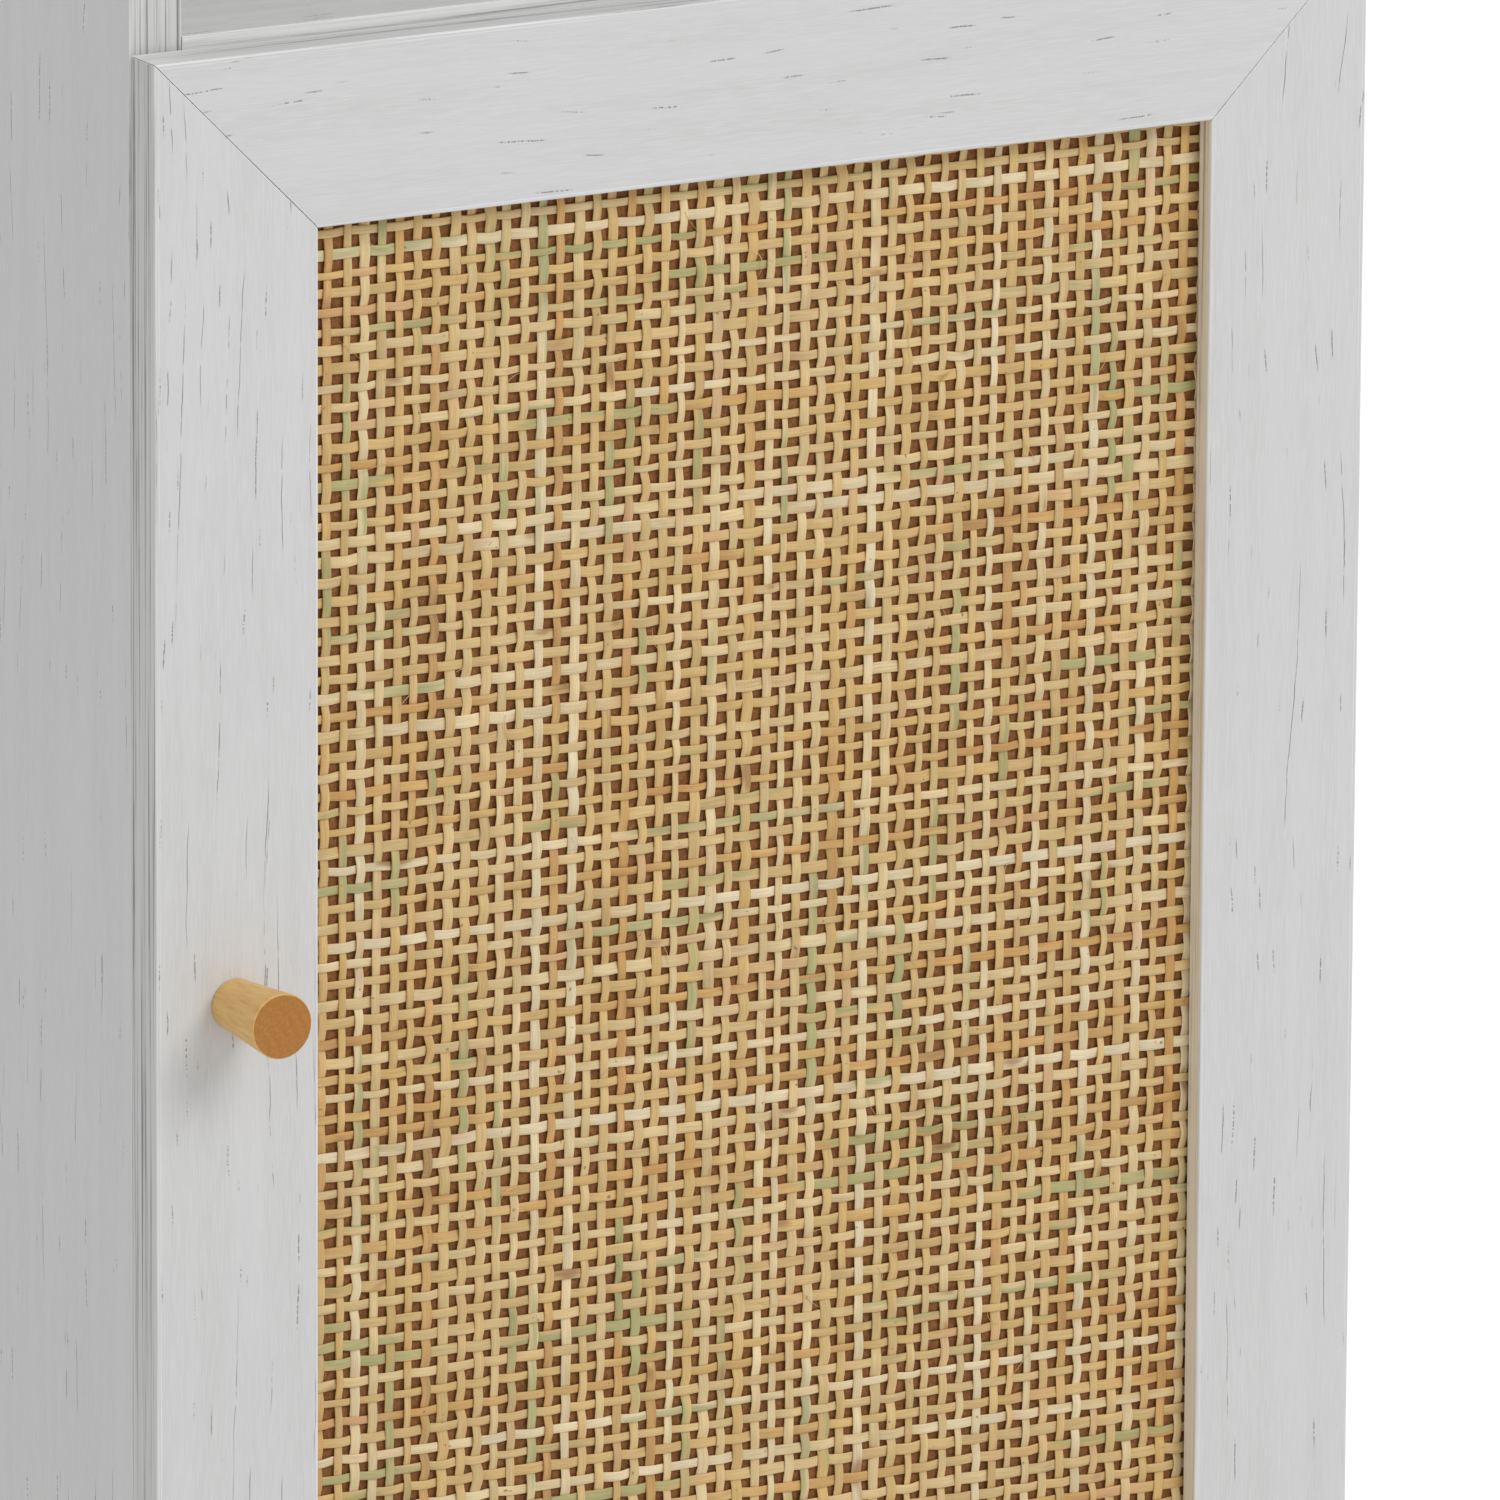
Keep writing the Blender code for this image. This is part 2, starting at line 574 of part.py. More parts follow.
def add_bumpers(plastic):
    """Soft pads on the left panel's front edge, where the closed door lands."""
    x = -(SIDE_X + INNER_X) / 2
    pad = DOOR_GAP - 2 * FIT
    for name, z in (("upper", DOOR_TOP_Z - 0.030), ("lower", DOOR_BOTTOM_Z + 0.030)):
        base = Vector((x, FRONT_Y - FIT, z))
        profile = ((0, 0), (0.004, 0), (0.004, pad * 0.5), (0.003, pad), (0, pad))
        bumper = turned_mesh(profile, base, -Y, 16)
        shade_round(add_object(f"door_bumper_{name}", bumper, plastic, base))


def main():
    clear_scene()
    foil = make_material("whitewashed_oak_foil", (205, 204, 201), 0.55)
    cane = make_material("woven_cane", (206, 170, 105), 0.6)
    hardboard = make_material("brown_hardboard", (118, 82, 55), 0.7)
    beech = make_material("beech", (200, 165, 108), 0.5)
    steel = make_material("nickel_plated_steel", (190, 190, 188), 0.3, 1.0)
    zinc = make_material("zinc_alloy", (170, 172, 175), 0.4, 1.0)
    plastic = make_material("clear_plastic", (225, 225, 222), 0.4)

    pivot_plan = plan(DOOR_PIVOT_MM)
    door_pivot = bpy.data.objects.new("door_pivot", None)
    door_pivot.location = (pivot_plan.x, pivot_plan.y, KNOB_Z)
    bpy.context.scene.collection.objects.link(door_pivot)

    holes = {-1: [], 1: []}
    stile_cuts = []
    sides, niche_shelf = add_carcass(foil, hardboard, plastic)
    add_shelves(foil, steel, holes)
    add_cam_locks(niche_shelf, zinc)
    hinge_stile = add_door(foil, cane, hardboard, beech, steel, door_pivot)
    for name, z in (
        ("upper", DOOR_TOP_Z - HINGE_FROM_END),
        ("lower", DOOR_BOTTOM_Z + HINGE_FROM_END),
    ):
        add_hinge(name, z, steel, holes, stile_cuts, door_pivot)
    add_bumpers(plastic)
    for side, panel in sides.items():
        combine(panel, "DIFFERENCE", [cylinder_mesh(*hole) for hole in holes[side]])
    combine(hinge_stile, "DIFFERENCE", stile_cuts)


main()
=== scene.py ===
import json
import math
import bpy
import numpy as np
from mathutils import Matrix, Vector

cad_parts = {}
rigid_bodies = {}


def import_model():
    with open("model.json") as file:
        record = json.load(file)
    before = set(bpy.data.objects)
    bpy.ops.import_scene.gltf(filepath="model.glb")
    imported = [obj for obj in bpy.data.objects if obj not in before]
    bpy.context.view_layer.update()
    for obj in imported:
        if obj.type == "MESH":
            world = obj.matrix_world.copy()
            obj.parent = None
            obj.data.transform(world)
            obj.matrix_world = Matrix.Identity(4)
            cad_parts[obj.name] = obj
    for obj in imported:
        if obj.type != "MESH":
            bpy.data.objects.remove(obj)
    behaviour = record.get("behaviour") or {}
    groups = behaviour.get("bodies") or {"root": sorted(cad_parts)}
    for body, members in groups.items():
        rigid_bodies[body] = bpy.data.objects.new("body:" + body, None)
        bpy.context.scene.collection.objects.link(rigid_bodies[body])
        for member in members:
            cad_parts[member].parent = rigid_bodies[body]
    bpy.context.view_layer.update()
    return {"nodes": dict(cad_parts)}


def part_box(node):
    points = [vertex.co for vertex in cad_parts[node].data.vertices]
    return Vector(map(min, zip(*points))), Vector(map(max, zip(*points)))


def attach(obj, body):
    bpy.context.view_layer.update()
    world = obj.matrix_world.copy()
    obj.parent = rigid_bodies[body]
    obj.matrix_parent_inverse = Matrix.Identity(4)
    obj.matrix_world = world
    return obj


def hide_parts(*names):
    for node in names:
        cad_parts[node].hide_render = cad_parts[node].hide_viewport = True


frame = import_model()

mm = 0.001


def span(*names):
    # lowest and highest corner of these nodes together
    boxes = np.array([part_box(name) for name in names], float)
    return boxes[:, 0].min(axis=0), boxes[:, 1].max(axis=0)


members = ("door_stile_left", "door_stile_right", "door_rail_top", "door_rail_bottom")
doorLow, doorHigh = span(*members)
doorMiddle = (doorLow + doorHigh) / 2


view = {
    "fromDoorCorner": (-2.605, -4.863, 1.202),   # metres from the door's top left front corner
    "turn": 30.07,                               # degrees to the right of straight ahead
    "tilt": 14.40,                               # degrees down
    "roll": 0.34,
    "lens": 445.4, "sensor": 36,                 # mm
}


def aimCamera():
    corner = Vector((doorLow[0], doorLow[1], doorHigh[2]))
    turn, tilt, roll = (math.radians(view[key]) for key in ("turn", "tilt", "roll"))
    ahead = Vector((math.sin(turn) * math.cos(tilt), math.cos(turn) * math.cos(tilt), -math.sin(tilt)))
    right = Vector((math.cos(turn), -math.sin(turn), 0))
    up = right.cross(ahead)
    rolledRight = math.cos(roll) * right + math.sin(roll) * up
    rolledUp = math.cos(roll) * up - math.sin(roll) * right
    data = bpy.data.cameras.new("productCamera")
    data.lens = view["lens"]
    data.sensor_width = view["sensor"]
    data.clip_start, data.clip_end = 0.1, 200
    camera = bpy.data.objects.new("productCamera", data)
    bpy.context.scene.collection.objects.link(camera)
    axes = Matrix((rolledRight, rolledUp, -ahead)).transposed()
    camera.matrix_world = Matrix.Translation(corner + Vector(view["fromDoorCorner"])) @ axes.to_4x4()
    bpy.context.scene.camera = camera


studio = {
    "skyStrength": 0.60,
    "keyPower": 95.0, "keySize": 2.6, "keyFrom": (1.7, -4.1, 3.7),   # front right, high
    "keyTowards": (0, 0, 0.5),
    "floorSize": 120.0, "floorColour": "f2f2f0", "floorGlow": 0.45,
}


def linear(code):
    # sRGB hex digits turned to linear light, with alpha 1
    values = [int(code[i:i + 2], 16) / 255 for i in (0, 2, 4)]
    return (*[v / 12.92 if v <= 0.04045 else ((v + 0.055) / 1.055) ** 2.4 for v in values], 1.0)


def pick(sockets, key):
    # the socket with this number, or the one in use with this name
    if isinstance(key, int):
        return sockets[key]
    return next(s for s in sockets if s.enabled and s.name == key)


def firstOutput(node):
    return next(s for s in node.outputs if s.enabled)


smooth = {"interpolation_type": "SMOOTHSTEP"}
inColour = {"data_type": "RGBA"}
timesColour = {"data_type": "RGBA", "blend_type": "MULTIPLY"}
onPlane = {"noise_dimensions": "2D"}


def addNode(tree, kind, settings=None, inputs=None, stops=None):
    # A node with its settings; an input takes a value, a socket, or a node, which gives its first output.
    # stops are a colour ramp's (place, hex colour) pairs.
    node = tree.nodes.new("ShaderNode" + kind)
    for key, value in (settings or {}).items():
        setattr(node, key, value)
    for key, value in (inputs or {}).items():
        if isinstance(value, bpy.types.Node):
            value = firstOutput(value)
        if isinstance(value, bpy.types.NodeSocket):
            tree.links.new(value, pick(node.inputs, key))
        else:
            pick(node.inputs, key).default_value = value
    if stops:
        elements = node.color_ramp.elements
        while len(elements) < len(stops):
            elements.new(0.5)
        for element, (place, code) in zip(elements, stops):
            element.position = place
            element.color = linear(code)
    return node


def newMaterial(name, **values):
    # A Principled material with these sockets set; a word's underscores stand for spaces.
    material = bpy.data.materials.new(name)
    material.use_nodes = True
    shader = material.node_tree.nodes["Principled BSDF"]
    for key, value in values.items():
        shader.inputs[key.replace("_", " ")].default_value = value
    return material, material.node_tree, shader


def feed(tree, shader, **sources):
    # Each node's first output goes to the socket of that name; underscores stand for spaces.
    for key, node in sources.items():
        tree.links.new(firstOutput(node), shader.inputs[key.replace("_", " ")])


def buildStudio():
    world = bpy.data.worlds.new("studioSky")
    bpy.context.scene.world = world
    world.use_nodes = True
    tree = world.node_tree
    background = tree.nodes["Background"]
    background.inputs["Color"].default_value = (1, 1, 1, 1)
    path = addNode(tree, "LightPath")
    strength = addNode(tree, "Mix", None, {
        "Factor": path.outputs["Is Camera Ray"], "A": studio["skyStrength"], "B": 1.0})
    feed(tree, background, Strength=strength)
    data = bpy.data.lights.new("keySoftbox", "AREA")
    data.shape, data.size, data.energy = "DISK", studio["keySize"], studio["keyPower"]
    light = bpy.data.objects.new("keySoftbox", data)
    bpy.context.scene.collection.objects.link(light)
    place = Vector(studio["keyFrom"])
    light.location = place
    light.rotation_euler = (Vector(studio["keyTowards"]) - place).to_track_quat("-Z", "Y").to_euler()
    # matt paint on a flat floor, lit a little from inside so that it stays white
    material, tree, shader = newMaterial("matt painted studio floor", Roughness=0.9,
                                         Emission_Color=(1, 1, 1, 1),
                                         Emission_Strength=studio["floorGlow"])
    mottle = addNode(tree, "TexNoise", None, {"Scale": 3.0, "Detail": 2.0})
    tone = addNode(tree, "Mix", inColour, {
        "Factor": mottle, "A": linear(studio["floorColour"]), "B": (1, 1, 1, 1)})
    feed(tree, shader, Base_Color=tone)
    half = studio["floorSize"] / 2
    corners = [(-half, -half, 0), (half, -half, 0), (half, half, 0), (-half, half, 0)]
    mesh = bpy.data.meshes.new("studioFloor")
    mesh.from_pydata(corners, [], [(0, 1, 2, 3)])
    mesh.materials.append(material)
    floor = bpy.data.objects.new("studioFloor", mesh)
    bpy.context.scene.collection.objects.link(floor)
    floor.visible_diffuse = False
    bpy.context.scene.view_settings.view_transform = "Standard"


aimCamera()
buildStudio()
print("stage: camera, light and floor are set")


foilLook = {
    "base": "dfdfdf", "bandDark": "d7d7d6", "fibreLight": "e5e5e5", "pore": "8c8c8b",
    # length and width of the soft bands, the embossed fibres and the cloudy patches
    "bands": (160 * mm, 7 * mm), "fibres": (11 * mm, 0.45 * mm), "clouds": (70 * mm, 45 * mm),
    # the lanes of pores move sideways by so much over so long
    "leanBy": 11 * mm, "leanOver": 110 * mm, "waverBy": 0.9 * mm, "waverOver": 11 * mm,
    # levels of the noise where ink starts and is full, and how soft the ends of a run are
    "inkFrom": 0.42, "inkFull": 0.54, "runEdge": 0.07,
    # long open pores, then short ones: distance between lanes, width, and lengths of a mark and of a run
    "lines": {"pitch": 5.2 * mm, "width": 0.27 * mm, "dash": 14 * mm, "run": 75 * mm},
    "specks": {"pitch": 2.1 * mm, "width": 0.40 * mm, "dash": 1.0 * mm, "run": 26 * mm},
}


def grainCoordinates(tree, grain):
    # (along, across, point): distance along the grain, distance across it on any face of the board
    # parallel to the grain, and the point with its grain axis first
    coordinates = addNode(tree, "TexCoord")
    split = addNode(tree, "SeparateXYZ", None, {"Vector": coordinates.outputs["Object"]})
    others = [axis for axis in "XYZ" if axis != grain]
    across = addNode(tree, "Math", {"operation": "ADD"}, {
        0: split.outputs[others[0]], 1: split.outputs[others[1]]})
    point = addNode(tree, "CombineXYZ", None, {
        "X": split.outputs[grain], "Y": split.outputs[others[0]], "Z": split.outputs[others[1]]})
    return split.outputs[grain], across, point


def stretchedNoise(tree, point, length, width, detail=2.0, roughness=0.5, shift=0.0):
    # noise whose blobs are length long down the grain and width across it
    scaled = addNode(tree, "Mapping", None, {
        "Vector": point, "Location": (shift, shift, shift), "Scale": (1 / length, 1 / width, 1 / width)})
    return addNode(tree, "TexNoise", None, {
        "Vector": scaled, "Scale": 1.0, "Detail": detail, "Roughness": roughness})


def poreMask(tree, along, across, marks, share):
    # Pores as printed on the foil lie in lanes down the grain. A lane leans with a slow noise and
    # wavers with a fine one. It is inked where a short noise passes the lane's own limit, wider where
    # that noise is high, in runs where a long noise passes 1 - share.
    place = addNode(tree, "CombineXYZ", None, {"X": along, "Y": across})
    slow = addNode(tree, "TexNoise", onPlane, {
        "Vector": place, "Scale": 1 / foilLook["leanOver"], "Detail": 0.0})
    fine = addNode(tree, "TexNoise", onPlane, {
        "Vector": place, "Scale": 1 / foilLook["waverOver"], "Detail": 1.0})
    lean = addNode(tree, "Math", {"operation": "MULTIPLY_ADD"}, {
        0: slow, 1: foilLook["leanBy"], 2: across})
    lean = addNode(tree, "Math", {"operation": "MULTIPLY_ADD"}, {
        0: fine, 1: foilLook["waverBy"], 2: lean})
    lane = addNode(tree, "Math", {"operation": "DIVIDE"}, {0: lean, 1: marks["pitch"]})
    index = addNode(tree, "Math", {"operation": "FLOOR"}, {0: lane})
    within = addNode(tree, "Math", {"operation": "FRACT"}, {0: lane})
    chance = addNode(tree, "TexWhiteNoise", {"noise_dimensions": "1D"}, {"W": index})
    own = addNode(tree, "SeparateXYZ", None, {"Vector": chance.outputs["Color"]})
    centre = addNode(tree, "MapRange", None, {"Value": own.outputs["X"], "To Min": 0.2, "To Max": 0.8})
    offset = addNode(tree, "Math", {"operation": "SUBTRACT"}, {0: within, 1: centre})
    away = addNode(tree, "Math", {"operation": "ABSOLUTE"}, {0: offset})
    markPlace = addNode(tree, "CombineXYZ", None, {"X": along, "Y": index})
    scaled = addNode(tree, "Mapping", None, {"Vector": markPlace, "Scale": (1 / marks["dash"], 7.3, 1)})
    dash = addNode(tree, "TexNoise", onPlane, {
        "Vector": scaled, "Scale": 1.0, "Detail": 3.0, "Roughness": 0.7})
    limit = addNode(tree, "MapRange", None, {
        "Value": own.outputs["Y"], "To Min": -0.16, "To Max": 0.05})
    above = addNode(tree, "Math", {"operation": "SUBTRACT"}, {0: dash, 1: limit})
    inked = addNode(tree, "MapRange", smooth, {
        "Value": above, "From Min": foilLook["inkFrom"], "From Max": foilLook["inkFull"]})
    scaled = addNode(tree, "Mapping", None, {
        "Vector": markPlace, "Location": (3.1, 0.4, 0), "Scale": (1 / marks["run"], 3.7, 1)})
    run = addNode(tree, "TexNoise", onPlane, {"Vector": scaled, "Scale": 1.0, "Detail": 1.0})
    runs = addNode(tree, "MapRange", smooth, {
        "Value": run, "From Min": 1 - share, "From Max": 1 - share + foilLook["runEdge"]})
    relative = addNode(tree, "Math", {"operation": "DIVIDE"}, {0: away, 1: dash})
    half = marks["width"] / marks["pitch"] / 2
    line = addNode(tree, "MapRange", smooth, {
        "Value": relative, "From Min": 3 * half, "From Max": half})
    both = addNode(tree, "Math", {"operation": "MULTIPLY"}, {0: inked, 1: runs})
    return addNode(tree, "Math", {"operation": "MULTIPLY"}, {0: both, 1: line})


# painted light: a lighter copy of the same foil for the niche, to lift the shade inside it
nicheLightenedLook = {**foilLook, "base": "eeeeed", "bandDark": "e3e3e2", "fibreLight": "f4f4f3"}


def foil(name, grain, lineShare, speckShare, look=foilLook):
    # Whitewashed oak decor foil: printed paper, matt, with embossed fibres along the grain, soft bands
    # and grey pores, long and short. Each share is how much of its lanes holds pores.
    material, tree, shader = newMaterial(name, Roughness=0.52, Specular_IOR_Level=0.35)
    along, across, point = grainCoordinates(tree, grain)
    bands = stretchedNoise(tree, point, *look["bands"], 3.0)
    fibres = stretchedNoise(tree, point, *look["fibres"], 2.0, 0.65)
    clouds = stretchedNoise(tree, point, *look["clouds"], 1.0, 0.5, 4.0)
    banded = addNode(tree, "MapRange", None, {
        "Value": bands, "From Min": 0.35, "From Max": 0.7, "To Max": 0.75})
    colour = addNode(tree, "Mix", inColour, {
        "Factor": banded, "A": linear(look["base"]), "B": linear(look["bandDark"])})
    lighter = addNode(tree, "MapRange", None, {"Value": fibres, "From Min": 0.42, "From Max": 0.75})
    colour = addNode(tree, "Mix", inColour, {
        "Factor": lighter, "A": colour, "B": linear(look["fibreLight"])})
    mottled = addNode(tree, "MapRange", None, {"Value": clouds, "To Min": 0.97, "To Max": 1.03})
    colour = addNode(tree, "Mix", timesColour, {"Factor": 1.0, "A": colour, "B": mottled})
    lines = poreMask(tree, along, across, look["lines"], lineShare)
    specks = poreMask(tree, along, across, look["specks"], speckShare)
    marks = addNode(tree, "Math", {"operation": "MAXIMUM"}, {0: lines, 1: specks})
    inked = addNode(tree, "Math", {"operation": "MULTIPLY"}, {0: marks, 1: 0.85})
    colour = addNode(tree, "Mix", inColour, {"Factor": inked, "A": colour, "B": linear(look["pore"])})
    rough = addNode(tree, "MapRange", None, {"Value": fibres, "To Min": 0.46, "To Max": 0.62})
    sunk = addNode(tree, "Math", {"operation": "MULTIPLY_ADD"}, {0: marks, 1: -0.8, 2: fibres})
    bump = addNode(tree, "Bump", None, {"Height": sunk, "Strength": 0.30, "Distance": 0.08 * mm})
    feed(tree, shader, Base_Color=colour, Roughness=rough, Normal=bump)
    return material


def streaked(name, grain, stops, width=0.85 * mm, length=120 * mm):
    # Printed paper edge banding, matt: sharp, darker streaks of this width and length along the strip.
    material, tree, shader = newMaterial(name, Roughness=0.55, Specular_IOR_Level=0.3)
    point = grainCoordinates(tree, grain)[2]
    coarse = stretchedNoise(tree, point, length, width, 1.0, 0.5, 2.0)
    fine = stretchedNoise(tree, point, length / 8, width / 2, 2.0, 0.6, 6.0)
    mixed = addNode(tree, "Mix", None, {"Factor": 0.22, "A": coarse, "B": fine})
    colour = addNode(tree, "ValToRGB", None, {"Fac": mixed}, stops)
    bump = addNode(tree, "Bump", None, {"Height": mixed, "Strength": 0.4, "Distance": 0.1 * mm})
    feed(tree, shader, Base_Color=colour, Normal=bump)
    return material


# dark streak to pale ground: upright banding, level banding, white banding on the rounds painted lighter
# as a highlight, and the turned-in faces painted lighter against their shade
bandStops = [(0.34, "8e8e8d"), (0.41, "bcbcbb"), (0.46, "d2d2d1"), (0.60, "dddddc")]
paleStops = [(0.32, "b0b0af"), (0.40, "d3d3d2"), (0.46, "e4e4e3"), (0.60, "eeeeed")]
# painted highlight: the rounds are lighter than the foil, the banding's white edge with a highlight
# painted on it
arrisHighlightStops = [(0.28, "a9a9a8"), (0.34, "dcdcdb"), (0.55, "f0f0f0")]
# painted light: the faces turned into the opening are warm-tinted and lighter than the front foil, to lift
# the shade of the recess
revealLightenedStops = [(0.34, "bfb39d"), (0.41, "e4dac6"), (0.50, "f4ecdd"), (0.66, "f8f4ea")]
looks = {
    "stileFoil": foil("whitewashed oak decor foil, grain up, open pores", "Z", 0.395, 0.31),
    "panelFoil": foil("whitewashed oak decor foil, grain up, closed", "Z", 0.34, 0.30),
    "railFoil": foil("whitewashed oak decor foil, grain across", "X", 0.22, 0.305),
    # the niche's lighter copy of the foil, painted light against its shade
    "nicheFoil": foil("whitewashed oak decor foil, unworn", "X", 0.25, 0.30, nicheLightenedLook),
    "bandZ": streaked("printed edge banding, grain up", "Z", bandStops),
    "bandX": streaked("printed edge banding, grain across", "X", paleStops),
    # the rounds: the banding's white edge, painted lighter as a highlight
    "arrisZ": streaked("white banding edge painted with a highlight, grain up", "Z", arrisHighlightStops, 0.7 * mm, 60 * mm),
    "arrisX": streaked("white banding edge painted with a highlight, grain across", "X", arrisHighlightStops, 0.7 * mm, 60 * mm),
    # the faces towards the opening, painted lighter against the shade of the recess
    "revealZ": streaked("foil wrapped into the opening, grain up", "Z", revealLightenedStops,
                        1.6 * mm, 160 * mm),
    "revealX": streaked("foil wrapped into the opening, grain across", "X", revealLightenedStops,
                        1.6 * mm, 160 * mm),
}

brownLook = {"stops": [(0.30, "704a25"), (0.50, "926035"), (0.70, "ab7845")], "fibre": 2.2 * mm}


def hardboard(name):
    # Wet-process hardboard: pressed brown wood fibre, matt, with a random felt of short fibres.
    material, tree, shader = newMaterial(name, Roughness=0.75, Specular_IOR_Level=0.25)
    coordinates = addNode(tree, "TexCoord")
    felt = addNode(tree, "TexNoise", None, {
        "Vector": coordinates.outputs["Object"], "Scale": 1 / brownLook["fibre"], "Detail": 4.0,
        "Roughness": 0.7, "Distortion": 1.2})
    colour = addNode(tree, "ValToRGB", None, {"Fac": felt}, brownLook["stops"])
    bump = addNode(tree, "Bump", None, {"Height": felt, "Strength": 0.5, "Distance": 0.2 * mm})
    feed(tree, shader, Base_Color=colour, Normal=bump)
    return material


looks["hardboard"] = hardboard("brown hardboard")
looks["backing"] = hardboard("brown backing board")

caneLook = {
    "bark": [(0.00, "f2e1bc"), (0.20, "e9cf9c"), (0.42, "dfbf85"), (0.62, "deb977"),
             (0.76, "d5a362"), (0.88, "b58d5b"), (1.00, "8f6a3c")],
    "ownTone": (-0.08, 0.64),                  # from the palest strand to the brownest
    "drift": 0.85, "driftLength": 55 * mm,     # how far and over what length a strand's tone drifts
    "zone": 0.16, "zoneSize": 90 * mm,         # and that of the whole weave
    "paler": 0.39,                             # taken off every tone
    # other colours down a strand: colour, length, breadth in strands, place in the noise, its detail,
    # the levels where it starts and is full, and its share
    "green": ("b5b37c", 95 * mm, 4.0, 5.1, 2.0, 0.58, 0.67, 0.85),
    "pink": ("e1b18a", 40 * mm, 4.0, 9.4, 2.0, 0.58, 0.74, 0.6),
    "aged": ("a5774a", 28 * mm, 5.0, 15.1, 2.0, 0.66, 0.76, 0.8),
    "stain": ("7c5c3a", 2.4 * mm, 0.8, 7.7, 1.0, 0.74, 0.82, 0.7),
}


def rattan(name):
    # Peeled rattan cane: pale straw bark side with a low natural gloss. Each strand has its own tone,
    # which drifts along it; fine fibres run along it and a few joints and stains cross it.
    material, tree, shader = newMaterial(name, Roughness=0.48, Specular_IOR_Level=0.4)
    seed = addNode(tree, "Attribute", {"attribute_name": "strandSeed"})
    place = addNode(tree, "UVMap", {"uv_map": "strandMap"})
    split = addNode(tree, "SeparateXYZ", None, {"Vector": place.outputs["UV"]})
    point = addNode(tree, "CombineXYZ", None, {
        "X": split.outputs["X"], "Y": split.outputs["Y"], "Z": seed.outputs["Fac"]})

    def along(length, breadth, shift, detail=2.0):
        # noise that is length long down a strand and breadth of its width across it
        scaled = addNode(tree, "Mapping", None, {
            "Vector": point, "Location": (0, 0, shift), "Scale": (1 / length, 1 / breadth, 11.7)})
        return addNode(tree, "TexNoise", None, {
            "Vector": scaled, "Scale": 1.0, "Detail": detail, "Roughness": 0.55})

    def tinted(colour, key):
        # another colour wherever its noise passes from the first level to the second
        code, length, breadth, shift, detail, start, full, share = caneLook[key]
        part = addNode(tree, "MapRange", smooth, {
            "Value": along(length, breadth, shift, detail), "From Min": start, "From Max": full,
            "To Max": share})
        return addNode(tree, "Mix", inColour, {"Factor": part, "A": colour, "B": linear(code)})

    own = addNode(tree, "TexWhiteNoise", {"noise_dimensions": "1D"}, {"W": seed.outputs["Fac"]})
    palest, brownest = caneLook["ownTone"]
    ownTone = addNode(tree, "MapRange", None, {
        "Value": own.outputs["Value"], "To Min": palest, "To Max": brownest})
    tone = addNode(tree, "Math", {"operation": "MULTIPLY_ADD"}, {
        0: along(caneLook["driftLength"], 3.0, 0.3), 1: caneLook["drift"], 2: ownTone})
    coordinates = addNode(tree, "TexCoord")
    zones = addNode(tree, "TexNoise", None, {
        "Vector": coordinates.outputs["Object"], "Scale": 1 / caneLook["zoneSize"], "Detail": 1.0})
    tone = addNode(tree, "Math", {"operation": "MULTIPLY_ADD"}, {
        0: zones, 1: caneLook["zone"], 2: tone})
    tone = addNode(tree, "Math", {"operation": "SUBTRACT"}, {0: tone, 1: caneLook["paler"]})
    colour = addNode(tree, "ValToRGB", None, {"Fac": tone}, caneLook["bark"])
    for key in ("green", "pink", "aged"):
        colour = tinted(colour, key)
    fibres = along(9 * mm, 0.10, 2.2, 3.0)
    lines = addNode(tree, "MapRange", None, {
        "Value": fibres, "From Min": 0.3, "From Max": 0.7, "To Min": 0.84, "To Max": 1.12})
    shade = addNode(tree, "MapRange", None, {
        "Value": along(26 * mm, 5.0, 12.3), "From Min": 0.3, "From Max": 0.7,
        "To Min": 0.86, "To Max": 1.12})
    both = addNode(tree, "Math", {"operation": "MULTIPLY"}, {0: lines, 1: shade})
    colour = addNode(tree, "Mix", timesColour, {"Factor": 1.0, "A": colour, "B": both})
    colour = tinted(colour, "stain")
    rough = addNode(tree, "MapRange", None, {"Value": fibres, "To Min": 0.42, "To Max": 0.60})
    bump = addNode(tree, "Bump", None, {"Height": fibres, "Strength": 0.5, "Distance": 0.12 * mm})
    feed(tree, shader, Base_Color=colour, Roughness=rough, Normal=bump)
    return material


looks["rattan"] = rattan("peeled rattan cane")


beechLook = {
    "side": [(0.30, "dca962"), (0.50, "e9bb70"), (0.70, "eec67c")],
    "end": [(0.30, "ac7030"), (0.50, "b47833"), (0.70, "be843a")],
    "fleck": 1.1 * mm, "fleckStretch": 16,             # width of a fleck, and its length in widths
    "heart": (14 * mm, 0, 9 * mm), "ringScale": 95.0,   # how far the tree's middle is from the knob's
}


